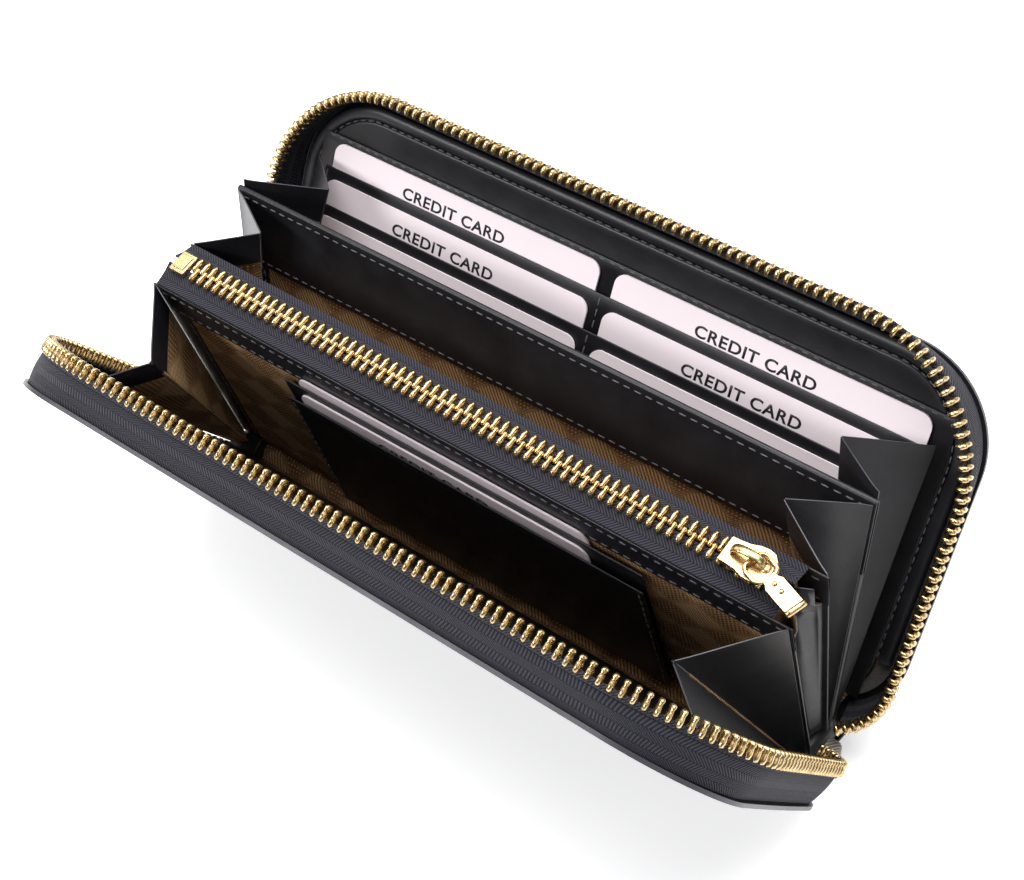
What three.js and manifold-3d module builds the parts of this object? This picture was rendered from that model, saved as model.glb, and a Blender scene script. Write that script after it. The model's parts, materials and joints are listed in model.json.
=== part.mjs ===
// Zip around wallet, standing open on its spine. Units are millimetres, Z is up,
// X runs along the spine and +Y is toward the back cover.
import * as THREE from 'three';
import Module from 'manifold-3d';

const wasm = await Module();
wasm.setup();

// Closed size
const closedHalfThickness = 13.5;
const coverHalfLength = 101;
const coverTop = 96;
const coverBottom = 3;
const coverTopRadius = 24;
const coverBottomRadius = 18;

// Zip line of the covers
const chainHalfLength = 102.5;
const chainTop = 101;
const chainBottom = 0.6;
const chainTopRadius = 36;
const chainEndX = 93;

// All leaves turn about one line along X, this high above the resting face
const hingeHeight = 9.6;

// Lean of each leaf from upright while the wallet stands open, degrees toward the back
const lean = {
  spine: 0,
  backCover: 31,
  divider: 10.6,
  coinBack: -3.2,
  coinZip: -6,
  coinFront: -8.8,
  coinFold: -21.9,
  frontFold: -21.9,
  frontCover: -31,
};

// Payment card
const cardWidth = 85.6;
const cardHeight = 54;
const cardThickness = 0.5;
const cardGap = 4.6;
const backCardTop = 82;
const cardStep = 9.8;
const slotReveal = 7;

// Bill divider and coin pocket
const leafHalfLength = 91.6;
const leafBottom = 1.5;
const dividerTop = 76;
const coinWallTop = 69.5;
const coinMiddle = -1.2;
const gussetReach = 16;
const coinSliderX = 77;
const coinSliderZ = 71.7;

const finishes = {
  blackLeather: { color: 0x17171b, roughness: 0.42, metalness: 0 },
  edgeLeather: { color: 0x2a2a31, roughness: 0.3, metalness: 0 },
  jacquard: { color: 0x75532c, roughness: 0.75, metalness: 0 },
  tapeCloth: { color: 0x2c2c33, roughness: 0.85, metalness: 0 },
  paleGold: { color: 0xd0aa66, roughness: 0.28, metalness: 1 },
  cardFace: { color: 0xe9dedf, roughness: 0.5, metalness: 0 },
  greyBoard: { color: 0x6d6a66, roughness: 0.9, metalness: 0 },
};

const wallet = new THREE.Group();
wallet.name = 'zip_around_wallet';
const leaves = {};

function makeLeaf(name) {
  const leaf = new THREE.Group();
  leaf.name = `leaf_${name}`;
  leaf.position.z = hingeHeight;
  leaf.rotation.x = THREE.MathUtils.degToRad(-lean[name]);
  wallet.add(leaf);
  leaves[name] = leaf;
}

Object.keys(lean).forEach(makeLeaf);

function addMesh(parent, name, geometry, finish) {
  const material = new THREE.MeshStandardMaterial({ ...finishes[finish], name: finish });
  const mesh = new THREE.Mesh(geometry, material);
  mesh.name = name;
  parent.add(mesh);
  return mesh;
}

// A flat sheet in the XZ plane, from yLow to yHigh
function addSheet(leaf, name, shape, yLow, yHigh, finish, curveSegments = 6) {
  const geometry = new THREE.ExtrudeGeometry(shape, {
    depth: yHigh - yLow,
    bevelEnabled: false,
    curveSegments,
  });
  const mesh = addMesh(leaf, name, geometry, finish);
  mesh.rotation.x = Math.PI / 2;
  mesh.position.y = yHigh;
  return mesh;
}

function roundedShape(left, right, bottom, top, topRadius, bottomRadius) {
  const shape = new THREE.Shape();
  shape.moveTo(left + bottomRadius, bottom);
  shape.lineTo(right - bottomRadius, bottom);
  if (bottomRadius > 0) {
    shape.absarc(right - bottomRadius, bottom + bottomRadius, bottomRadius, -Math.PI / 2, 0, false);
  }
  shape.lineTo(right, top - topRadius);
  if (topRadius > 0) {
    shape.absarc(right - topRadius, top - topRadius, topRadius, 0, Math.PI / 2, false);
    shape.lineTo(left + topRadius, top);
    shape.absarc(left + topRadius, top - topRadius, topRadius, Math.PI / 2, Math.PI, false);
  } else {
    shape.lineTo(left, top);
  }
  if (bottomRadius > 0) {
    shape.lineTo(left, bottom + bottomRadius);
    shape.absarc(left + bottomRadius, bottom + bottomRadius, bottomRadius, Math.PI, Math.PI * 1.5, false);
  }
  return shape;
}

function coverShape(inset) {
  return roundedShape(
    -coverHalfLength + inset,
    coverHalfLength - inset,
    coverBottom + inset,
    coverTop - inset,
    coverTopRadius - inset,
    coverBottomRadius - inset,
  );
}

// A closed solid through a row of sections, each a list of points in the same order.
// capFaces lists the triangles of one section, seen from before the first section.
function solidFromSections(sections, capFaces) {
  const count = sections[0].length;
  const positions = [];
  const indices = [];
  sections.forEach((section) => section.forEach((p) => positions.push(p.x, p.y, p.z)));
  for (let i = 0; i + 1 < sections.length; i += 1) {
    for (let j = 0; j < count; j += 1) {
      const a = i * count + j;
      const b = i * count + ((j + 1) % count);
      const c = a + count;
      const d = b + count;
      indices.push(a, b, d, a, d, c);
    }
  }
  const last = (sections.length - 1) * count;
  capFaces.forEach(([a, b, c]) => {
    indices.push(a, c, b);
    indices.push(last + a, last + b, last + c);
  });
  const geometry = new THREE.BufferGeometry();
  geometry.setAttribute('position', new THREE.Float32BufferAttribute(positions, 3));
  geometry.setIndex(indices);
  return facingOut(geometry);
}

// Turns every face over if the solid came out inside out
function facingOut(geometry) {
  const p = geometry.getAttribute('position');
  const index = geometry.getIndex();
  const [a, b, c] = [new THREE.Vector3(), new THREE.Vector3(), new THREE.Vector3()];
  let volume = 0;
  for (let i = 0; i < index.count; i += 3) {
    a.fromBufferAttribute(p, index.getX(i));
    b.fromBufferAttribute(p, index.getX(i + 1));
    c.fromBufferAttribute(p, index.getX(i + 2));
    volume += a.dot(b.cross(c));
  }
  if (volume < 0) {
    for (let i = 0; i < index.count; i += 3) {
      const second = index.getX(i + 1);
      index.setX(i + 1, index.getX(i + 2));
      index.setX(i + 2, second);
    }
  }
  geometry.computeVertexNormals();
  return geometry;
}

// Zip line seen from the front: up one side, along the top and down the other.
// Each entry gives the point and the direction pointing out of the wallet.
function zipLine(half, bottom, top, topRadius, bottomRadius, startAngle, endAngle) {
  const line = [];
  const corner = (cx, cz, radius, from, to, steps) => {
    for (let i = 0; i <= steps; i += 1) {
      const angle = from + ((to - from) * i) / steps;
      line.push({
        x: cx + radius * Math.cos(angle),
        z: cz + radius * Math.sin(angle),
        outX: Math.cos(angle),
        outZ: Math.sin(angle),
      });
    }
  };
  const lowX = half - bottomRadius;
  const lowZ = bottom + bottomRadius;
  const highX = half - topRadius;
  const highZ = top - topRadius;
  corner(lowX, lowZ, bottomRadius, startAngle, 0, 6);
  corner(highX, highZ, topRadius, 0, Math.PI / 2, 10);
  corner(-highX, highZ, topRadius, Math.PI / 2, Math.PI, 10);
  corner(-lowX, lowZ, bottomRadius, Math.PI, endAngle, 4);
  return line;
}

// The right end stops short of the spine end, the left end stops short of the main slider
const lowRightAngle = -Math.acos((chainEndX - (chainHalfLength - coverBottomRadius)) / coverBottomRadius);
const lowLeftAngle = Math.PI + 0.5;

function leatherSideLine(inset) {
  return zipLine(
    coverHalfLength - inset,
    coverBottom + inset,
    coverTop - inset,
    coverTopRadius - inset,
    coverBottomRadius - inset,
    lowRightAngle,
    lowLeftAngle,
  );
}

function chainSideLine() {
  return zipLine(
    chainHalfLength,
    chainBottom,
    chainTop,
    chainTopRadius,
    coverBottomRadius,
    lowRightAngle,
    lowLeftAngle,
  );
}

const quadCap = [[0, 1, 2], [0, 2, 3]];

// Woven tape standing up from the cover leather to the metal teeth
function addMainTape(leaf, name, side) {
  const halfThick = 0.3;
  const low = leatherSideLine(1.2);
  const high = chainSideLine();
  const outerY = side * (closedHalfThickness - 1.5);
  const innerY = side * 3.1;
  const sections = low.map((a, i) => {
    const b = high[i];
    const inset = 0.8;
    const at = (p, y, off, back) => new THREE.Vector3(
      p.x + p.outX * (off - back),
      y,
      p.z + p.outZ * (off - back),
    );
    return [
      at(a, outerY, -halfThick, 0),
      at(a, outerY, halfThick, 0),
      at(b, innerY, halfThick, inset),
      at(b, innerY, -halfThick, inset),
    ];
  });
  addMesh(leaf, name, solidFromSections(sections, quadCap), 'tapeCloth');
}

// One side's row of teeth as a bead
function addMainChain(leaf, name, side) {
  const sections = chainSideLine().map((p) => {
    const at = (y, off) => new THREE.Vector3(p.x + p.outX * off, side * y, p.z + p.outZ * off);
    return [at(0.3, -2.2), at(0.3, 0.6), at(2.9, 0.6), at(2.9, -2.2)];
  });
  addMesh(leaf, name, solidFromSections(sections, quadCap), 'paleGold');
}

// Rounded stitched edge of the inner panel, along the top and down both sides
function addEdgeRoll(leaf, name, side) {
  const line = zipLine(
    coverHalfLength - 5,
    coverBottom + 5,
    coverTop - 3,
    coverTopRadius - 3,
    coverBottomRadius - 5,
    0,
    Math.PI,
  ).slice(6, 30);
  const sections = line.map((p) => {
    const at = (y, off) => new THREE.Vector3(p.x + p.outX * off, side * y, p.z + p.outZ * off);
    return [at(10.9, -1.6), at(10.9, 1.2), at(10.1, 1.6), at(9.4, 0.8), at(9.25, -0.4), at(9.5, -1.4)];
  });
  const cap = [[0, 1, 2], [0, 2, 3], [0, 3, 4], [0, 4, 5]];
  addMesh(leaf, name, solidFromSections(sections, cap), 'edgeLeather');
}

function addCover(leaf, word, side) {
  const outer = closedHalfThickness;
  const sheet = (name, inset, near, far, finish) => addSheet(
    leaf,
    name,
    coverShape(inset),
    Math.min(side * near, side * far),
    Math.max(side * near, side * far),
    finish,
    8,
  );
  sheet(`${word}_cover_leather`, 0, outer - 1.2, outer, 'blackLeather');
  sheet(`${word}_board`, 3, outer - 2.45, outer - 1.5, 'greyBoard');
  const lining = roundedShape(-94, 94, 9, 91, 19, 10);
  addSheet(
    leaf,
    `${word}_lining`,
    lining,
    Math.min(side * 9.95, side * 10.75),
    Math.max(side * 9.95, side * 10.75),
    'blackLeather',
    8,
  );
  addEdgeRoll(leaf, `${word}_edge_roll`, side);
  addMainTape(leaf, `${word}_zip_tape`, side);
  addMainChain(leaf, `${word}_zip_chain`, side);
}

function cardShape(left, top) {
  return roundedShape(left, left + cardWidth, top - cardHeight, top, 3.2, 3.2);
}

const columnLeft = [-cardGap / 2 - cardWidth, cardGap / 2];

// Three rows of slots, two columns wide, stepping toward the middle of the wallet
function addBackSlots(leaf) {
  addSheet(leaf, 'back_slot_backing', roundedShape(-93, 93, 9, 85.5, 14, 3), 9.2, 9.75, 'blackLeather');
  const rows = ['top', 'middle', 'bottom'];
  rows.forEach((row, i) => {
    const cardFront = 8.55 - 1.35 * i;
    const top = backCardTop - cardStep * i;
    columnLeft.forEach((left, column) => {
      const side = column === 0 ? 'left' : 'right';
      addSheet(
        leaf,
        `back_card_${side}_${row}`,
        cardShape(left, top),
        cardFront,
        cardFront + cardThickness,
        'cardFace',
      );
    });
    addSheet(
      leaf,
      `back_slot_${row}`,
      roundedShape(-89.6, 89.6, 5 + i, top - slotReveal, 1, 1),
      cardFront - 0.7,
      cardFront - 0.15,
      'blackLeather',
      2,
    );
  });
}

function addFrontSlots(leaf) {
  const top = 80;
  columnLeft.forEach((left, column) => {
    const side = column === 0 ? 'left' : 'right';
    addSheet(leaf, `front_card_${side}`, cardShape(left, top), -9.75, -9.25, 'cardFace');
  });
  addSheet(
    leaf,
    'front_slot',
    roundedShape(-89.6, 89.6, 9, top - slotReveal, 1, 1),
    -9.1,
    -8.55,
    'blackLeather',
    2,
  );
}

// Lining sheet with a leather band folded over its top edge
function addDivider(leaf) {
  addSheet(
    leaf,
    'divider_lining',
    roundedShape(-leafHalfLength + 0.6, leafHalfLength - 0.6, leafBottom, dividerTop - 1, 1, 1),
    3.72,
    4.28,
    'jacquard',
    2,
  );
  const band = new THREE.Shape();
  const profile = [
    [3.2, 54], [3.55, 54], [3.55, dividerTop - 0.7], [4.45, dividerTop - 0.7], [4.45, 54],
    [4.8, 54], [4.8, dividerTop - 0.8], [4.4, dividerTop], [3.6, dividerTop], [3.2, dividerTop - 0.8],
  ];
  profile.forEach(([y, z], i) => (i === 0 ? band.moveTo(y, z) : band.lineTo(y, z)));
  band.closePath();
  const length = 2 * leafHalfLength;
  const geometry = new THREE.ExtrudeGeometry(band, { depth: length, bevelEnabled: false });
  const mesh = addMesh(leaf, 'divider_band', geometry, 'blackLeather');
  mesh.rotation.set(Math.PI / 2, Math.PI / 2, 0);
  mesh.position.x = -leafHalfLength;
}

function addCoinWall(leaf, name, side) {
  const near = coinMiddle + side * 3.3;
  const far = coinMiddle + side * 3.9;
  addSheet(
    leaf,
    name,
    roundedShape(-leafHalfLength, leafHalfLength, leafBottom, coinWallTop, 1, 1),
    Math.min(near, far),
    Math.max(near, far),
    'jacquard',
    2,
  );
}

function addCoinSlots(leaf) {
  const left = -46.5;
  addSheet(leaf, 'coin_card_rear', cardShape(left, 61.6), -5.85, -5.35, 'cardFace');
  addSheet(leaf, 'coin_slot_rear', roundedShape(-51, 54, 2, 58.4, 1, 1), -6.5, -6, 'blackLeather', 2);
  addSheet(leaf, 'coin_card_front', cardShape(left, 56.5), -7.15, -6.65, 'cardFace');
  addSheet(leaf, 'coin_slot_front', roundedShape(-51, 54, 2, 52.2, 1, 1), -7.8, -7.3, 'blackLeather', 2);
}

// A point given in a leaf's own closed position, placed in the standing wallet
function onLeaf(name, x, y, z) {
  const point = new THREE.Vector3(x, y, z);
  point.applyAxisAngle(new THREE.Vector3(1, 0, 0), THREE.MathUtils.degToRad(-lean[name]));
  point.z += hingeHeight;
  return point;
}

// Flat woven roof from the top of one coin wall to the metal teeth
function addCoinTape(name, wall, side) {
  const ends = [-87, 83.5];
  const sections = ends.map((x) => {
    const foot = coinMiddle + side * 3.3;
    const edge = coinMiddle + side * 3.05;
    return [
      onLeaf(wall, x, foot - side * 0.3, coinWallTop + 0.3),
      onLeaf(wall, x, foot + side * 0.6, coinWallTop + 0.5),
      onLeaf('coinZip', x, edge, 72.2),
      onLeaf('coinZip', x, edge, 71.5),
    ];
  });
  addMesh(wallet, name, solidFromSections(sections, quadCap), 'tapeCloth');
}

function addCoinChain(leaf, name, side) {
  const near = coinMiddle + side * 0.3;
  const far = coinMiddle + side * 2.8;
  const shape = roundedShape(-83.5, 83, 70.4, 73, 0, 0);
  addSheet(leaf, name, shape, Math.min(near, far), Math.max(near, far), 'paleGold', 1);
}

function toManifold(geometry) {
  const plain = new THREE.BufferGeometry();
  plain.setAttribute('position', geometry.getAttribute('position').clone());
  if (geometry.getIndex()) {
    plain.setIndex(geometry.getIndex().clone());
  }
  const merged = mergePositions(plain);
  return new wasm.Manifold(new wasm.Mesh({
    numProp: 3,
    vertProperties: merged.positions,
    triVerts: merged.indices,
  }));
}

function mergePositions(geometry) {
  const position = geometry.getAttribute('position');
  const source = geometry.getIndex();
  const count = source ? source.count : position.count;
  const seen = new Map();
  const positions = [];
  const indices = [];
  for (let i = 0; i < count; i += 1) {
    const at = source ? source.getX(i) : i;
    const xyz = [position.getX(at), position.getY(at), position.getZ(at)];
    const key = xyz.map((v) => v.toFixed(5)).join(' ');
    if (!seen.has(key)) {
      seen.set(key, positions.length / 3);
      positions.push(...xyz);
    }
    indices.push(seen.get(key));
  }
  return { positions: new Float32Array(positions), indices: new Uint32Array(indices) };
}

function fromManifold(solid) {
  const mesh = solid.getMesh();
  const geometry = new THREE.BufferGeometry();
  geometry.setAttribute('position', new THREE.BufferAttribute(new Float32Array(mesh.vertProperties), 3));
  geometry.setIndex(new THREE.BufferAttribute(new Uint32Array(mesh.triVerts), 1));
  geometry.computeVertexNormals();
  return geometry;
}

function blockAt(lengthX, lengthY, lengthZ, x, y, z) {
  return toManifold(new THREE.BoxGeometry(lengthX, lengthY, lengthZ).translate(x, y, z));
}

function diskAcross(radius, lengthY, x, y, z) {
  return toManifold(new THREE.CylinderGeometry(radius, radius, lengthY, 20).translate(x, y, z));
}

// Slider body: wide upper plate, narrow lower plate, thin web between the two rows
// of teeth, and a bridge on top that carries the pull
function sliderSolid(length, topWidth, plateGap) {
  const half = plateGap / 2;
  return blockAt(length, topWidth, 1, 0, 0, half + 0.5)
    .add(blockAt(length, topWidth * 0.62, 0.8, 0, 0, -half - 0.4))
    .add(blockAt(length * 0.3, 0.36, plateGap + 1, 0, 0, 0))
    .add(blockAt(1.2, 2.2, 2.6, length * 0.32, 0, half + 2))
    .add(blockAt(1.2, 2.2, 2.6, -length * 0.32, 0, half + 2))
    .add(blockAt(length * 0.64 + 1.2, 2.2, 0.9, 0, 0, half + 3.5));
}

// Place of the pull's crossbar inside the bridge, in the slider's own position
const crossbarX = 1;
const crossbarAboveGap = 2;

function addCoinSlider(leaf) {
  const mesh = addMesh(leaf, 'coin_slider', fromManifold(sliderSolid(9.6, 8.2, 3.2)), 'paleGold');
  mesh.position.set(coinSliderX, coinMiddle, coinSliderZ);
}

// Pull: ring round the bridge, then a plate with a rolled end,
// its middle line through the crossbar at the origin
function pullSolid(ringLength, ringWidth, plateLength, plateWidth) {
  const ringMiddle = ringLength / 2 - 0.55;
  const ring = blockAt(ringLength, ringWidth, 0.9, ringMiddle, 0, 0)
    .subtract(blockAt(ringLength - 2.3, ringWidth - 2, 3, ringMiddle - 0.05, 0, 0));
  const plateEnd = ringLength - 0.95 + plateLength;
  return ring
    .add(blockAt(plateLength, plateWidth, 0.9, plateEnd - plateLength / 2, 0, 0))
    .add(diskAcross(0.85, plateWidth, plateEnd, 0, 0));
}

// The pull lies on the tape, turned a little toward the front and drooping
function addCoinPull(leaf) {
  const mesh = addMesh(leaf, 'coin_pull', fromManifold(pullSolid(6, 6.2, 8, 4)), 'paleGold');
  mesh.position.set(coinSliderX + crossbarX, coinMiddle, coinSliderZ + 1.6 + crossbarAboveGap);
  mesh.rotation.order = 'ZYX';
  mesh.rotation.set(0, THREE.MathUtils.degToRad(5), THREE.MathUtils.degToRad(-20));
}

function addCoinStops(leaf) {
  const shape = roundedShape(-88.6, -83.9, 70.6, 73.2, 0.6, 0);
  addSheet(leaf, 'coin_stop_left', shape, coinMiddle - 3, coinMiddle + 3, 'paleGold', 2);
}

// A folded leather gusset between two leaves. Levels give, from the spine upward, the
// height and the depth of the two sewn edges, each in its own leaf's closed position.
const gussetCap = [[0, 1, 4], [0, 4, 5], [1, 2, 3], [1, 3, 4]];

function gussetSections(side, from, to, fold, levels) {
  const thick = 0.7;
  return levels.map(({ z, fromY, toY }) => {
    const inward = 2 + (gussetReach - 2) * (z / 76);
    const outerX = side * (leafHalfLength - 0.6);
    const foldX = side * (leafHalfLength - 0.6 - inward);
    const middleY = (fromY + toY) / 2;
    return [
      onLeaf(from, outerX, fromY, z),
      onLeaf(fold, foldX, middleY, z),
      onLeaf(to, outerX, toY, z),
      onLeaf(to, outerX - side * thick, toY, z),
      onLeaf(fold, foldX - side * thick, middleY, z),
      onLeaf(from, outerX - side * thick, fromY, z),
    ];
  });
}

function addGusset(name, side, from, to, fold, levels) {
  const sections = gussetSections(side, from, to, fold, levels);
  addMesh(wallet, name, solidFromSections(sections, gussetCap), 'blackLeather');
}

// Half of a gusset: one panel from a leaf to the fold
function addGussetPanel(name, side, from, fold, levels, foldShift) {
  const thick = 0.7;
  const sections = levels.map(({ z, fromY }) => {
    const inward = 2 + (gussetReach - 2) * (z / 76);
    const outerX = side * (leafHalfLength - 0.6);
    const foldX = side * (leafHalfLength - 0.6 - inward);
    return [
      onLeaf(from, outerX, fromY, z),
      onLeaf(fold, foldX, -6.8 + foldShift, z),
      onLeaf(fold, foldX - side * thick, -6.8 + foldShift, z),
      onLeaf(from, outerX - side * thick, fromY, z),
    ];
  });
  addMesh(wallet, name, solidFromSections(sections, quadCap), 'blackLeather');
}

function addGussets() {
  const sides = [['right', 1], ['left', -1]];
  lean.rearFold = (lean.backCover + lean.divider) / 2;
  lean.middleFold = (lean.divider + lean.coinBack) / 2;
  sides.forEach(([word, side]) => {
    addGusset(`gusset_rear_${word}`, side, 'backCover', 'divider', 'rearFold', [
      { z: 4, fromY: 5.1, toY: 5.1 },
      { z: 30, fromY: 5.1, toY: 5.1 },
      { z: 54.9, fromY: 5, toY: 5.1 },
      { z: 65, fromY: 6.2, toY: 5.1 },
      { z: 75, fromY: 7.5, toY: 5.1 },
      { z: 77.5, fromY: 8.9, toY: 5.1 },
    ]);
    addGusset(`gusset_middle_${word}`, side, 'divider', 'coinBack', 'middleFold', [
      { z: 4, fromY: 2.9, toY: 3 },
      { z: 40, fromY: 2.9, toY: 3 },
      { z: 75, fromY: 2.9, toY: 3 },
    ]);
    const frontLevels = [4, 40, 74].map((z) => ({ z, fromY: -5.4 }));
    addGussetPanel(`gusset_front_${word}_inner`, side, 'coinFront', 'coinFold', frontLevels, 0.2);
    const coverLevels = [4, 40, 74].map((z) => ({ z, fromY: -8.25 }));
    addGussetPanel(`gusset_front_${word}_outer`, side, 'frontCover', 'frontFold', coverLevels, -0.2);
  });
}

// Cross section in YZ carried along X
function addAlongX(leaf, name, profile, halfLength, finish) {
  const at = (x) => profile.map(([y, z]) => new THREE.Vector3(x, y, z));
  const contour = profile.map(([y, z]) => new THREE.Vector2(y, z));
  const runsForward = THREE.ShapeUtils.area(contour) > 0;
  const cap = THREE.ShapeUtils.triangulateShape(contour, []).map((face) => {
    const faceForward = THREE.ShapeUtils.area(face.map((i) => contour[i])) > 0;
    return faceForward === runsForward ? face : [face[0], face[2], face[1]];
  });
  addMesh(leaf, name, solidFromSections([at(-halfLength), at(halfLength)], cap), finish);
}

const spineFlat = 7;

function addSpine(leaf) {
  const low = -hingeHeight;
  addAlongX(leaf, 'spine_leather', [
    [-spineFlat, low], [spineFlat, low], [spineFlat, low + 1.2], [-spineFlat, low + 1.2],
  ], 88, 'blackLeather');
  addAlongX(leaf, 'spine_board', [
    [-6.6, low + 1.5], [6.6, low + 1.5], [6.6, low + 2.3], [-6.6, low + 2.3],
  ], 87, 'greyBoard');
  addAlongX(leaf, 'spine_lining', [
    [-6.8, low + 2.6], [6.8, low + 2.6], [4, -3.6], [0, -0.4], [-4, -3.6],
  ], 87, 'jacquard');
}

// Soft leather between the flat of the spine and the foot of each cover
function addSpineSides() {
  const sides = [['back', 1, 'backCover'], ['front', -1, 'frontCover']];
  sides.forEach(([word, side, leafName]) => {
    const outerFoot = onLeaf(leafName, 0, side * closedHalfThickness, coverBottom - 0.3);
    const innerFoot = onLeaf(leafName, 0, side * (closedHalfThickness - 1.2), coverBottom - 0.3);
    const start = side * (spineFlat + 0.3);
    const belly = side * 11.2;
    addAlongX(wallet, `spine_side_${word}`, [
      [start, 0],
      [belly, 2.2],
      [outerFoot.y, outerFoot.z],
      [innerFoot.y, innerFoot.z],
      [belly - side * 0.9, 3],
      [start, 1.2],
    ], 84, 'blackLeather');
  });
}

// Closed end of the main zip, and the slider parked at its open end
function addZipEnds(leaf) {
  addAlongXAt(leaf, 'zip_end_tab', 88.6, 96, [[-3.4, -4.6], [3.4, -4.6], [3.4, -1.6], [-3.4, -1.6]]);
  const turn = 3.81;
  const slider = addMesh(leaf, 'main_slider', fromManifold(sliderSolid(10, 8.6, 3)), 'paleGold');
  slider.position.set(-98.5, 0, 3);
  slider.rotation.y = turn;
  const pull = addMesh(leaf, 'main_pull', fromManifold(pullSolid(6, 6.2, 11, 4.4)), 'paleGold');
  const crossbar = new THREE.Vector3(crossbarX, 0, 1.5 + crossbarAboveGap);
  crossbar.applyAxisAngle(new THREE.Vector3(0, 1, 0), turn);
  pull.position.copy(slider.position).add(crossbar);
  pull.rotation.y = 2.56;
}

function addAlongXAt(leaf, name, from, to, profile) {
  const at = (x) => profile.map(([y, z]) => new THREE.Vector3(x, y, z));
  addMesh(leaf, name, solidFromSections([at(from), at(to)], quadCap), 'tapeCloth');
}

addSpine(leaves.spine);
addSpineSides();
addZipEnds(leaves.spine);
addCover(leaves.backCover, 'back', 1);
addBackSlots(leaves.backCover);
addCover(leaves.frontCover, 'front', -1);
addFrontSlots(leaves.frontCover);
addDivider(leaves.divider);
addCoinWall(leaves.coinBack, 'coin_back_wall', 1);
addCoinWall(leaves.coinFront, 'coin_front_wall', -1);
addCoinSlots(leaves.coinFront);
addCoinTape('coin_tape_back', 'coinBack', 1);
addCoinTape('coin_tape_front', 'coinFront', -1);
addCoinChain(leaves.coinZip, 'coin_chain_back', 1);
addCoinChain(leaves.coinZip, 'coin_chain_front', -1);
addCoinStops(leaves.coinZip);
addCoinSlider(leaves.coinZip);
addCoinPull(leaves.coinZip);
addGussets();

export default wallet;
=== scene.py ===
import json
import math

import bpy
from mathutils import Matrix, Vector


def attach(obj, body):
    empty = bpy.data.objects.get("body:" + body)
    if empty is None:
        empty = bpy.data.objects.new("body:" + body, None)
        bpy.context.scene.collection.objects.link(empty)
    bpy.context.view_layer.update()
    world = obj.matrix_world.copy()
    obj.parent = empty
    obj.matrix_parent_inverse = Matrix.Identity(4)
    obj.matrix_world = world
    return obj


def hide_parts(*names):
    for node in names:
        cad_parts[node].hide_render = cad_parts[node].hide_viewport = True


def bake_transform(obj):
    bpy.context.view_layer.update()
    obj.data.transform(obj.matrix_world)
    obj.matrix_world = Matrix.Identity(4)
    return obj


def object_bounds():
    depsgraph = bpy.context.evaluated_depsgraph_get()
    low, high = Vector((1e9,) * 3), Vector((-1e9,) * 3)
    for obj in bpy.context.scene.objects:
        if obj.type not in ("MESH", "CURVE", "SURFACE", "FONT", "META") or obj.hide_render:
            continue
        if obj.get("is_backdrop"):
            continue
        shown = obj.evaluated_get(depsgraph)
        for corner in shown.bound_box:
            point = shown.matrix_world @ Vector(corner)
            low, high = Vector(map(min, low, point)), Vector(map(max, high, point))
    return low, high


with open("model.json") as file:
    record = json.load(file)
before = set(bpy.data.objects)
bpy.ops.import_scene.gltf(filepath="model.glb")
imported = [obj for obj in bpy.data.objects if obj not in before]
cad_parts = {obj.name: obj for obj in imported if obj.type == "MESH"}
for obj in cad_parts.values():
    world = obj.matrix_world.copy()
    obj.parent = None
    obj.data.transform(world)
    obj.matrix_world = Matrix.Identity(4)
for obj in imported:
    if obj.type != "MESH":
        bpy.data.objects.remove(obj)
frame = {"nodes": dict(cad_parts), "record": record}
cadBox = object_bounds()
print("wallet frame loaded")

# measures shared by the whole wallet, in millimetres
jointOf = {j["name"]: j for j in frame["record"]["behaviour"]["joints"]}
hingeHeight = jointOf["wallet_open"]["pos_m"][2] * 1000
leanOf = {  # degrees toward the back while the wallet stands open
    "spine": 0, "backCover": 31, "rearFold": 20.8, "divider": 10.6, "middleFold": 3.7, "coinBack": -3.2,
    "coinZip": -6, "coinFront": -8.8, "coinFold": -21.9, "frontFold": -21.9, "frontCover": -31,
}
bodyOf = {
    "spine": "spine", "backCover": "back_cover", "divider": "bill_divider", "coinBack": "coin_back",
    "coinZip": "coin_zip", "coinFront": "coin_front", "coinFold": "coin_fold", "frontFold": "front_fold",
    "frontCover": "front_cover",
}


def leafMatrix(leaf):
    # carries a leaf from its closed place to its place in the standing wallet, both in metres
    lift = Matrix.Translation((0, 0, hingeHeight / 1000))
    return lift @ Matrix.Rotation(math.radians(-leanOf[leaf]), 4, "X")


def onLeaf(leaf, x, y, z):
    return leafMatrix(leaf) @ Vector((x / 1000, y / 1000, z / 1000))


def mixed(a, b, t):
    return a + (b - a) * t


def steps(low, high, count):
    return [mixed(low, high, i / count) for i in range(count + 1)]


def arcOf(first, last, count):
    # cosine and sine at even steps between two angles in degrees
    return [(math.cos(math.radians(a)), math.sin(math.radians(a))) for a in steps(first, last, count)]


def bent(a, b, c, t):
    # a curve from a to c that leans toward b
    return a * (1 - t) ** 2 + b * 2 * t * (1 - t) + c * t * t


def circle(count, shift=0.0):
    # cosine and sine at even places round a ring
    turns = [(k + shift) * 2 * math.pi / count for k in range(count)]
    return [(math.cos(a), math.sin(a)) for a in turns]


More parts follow.
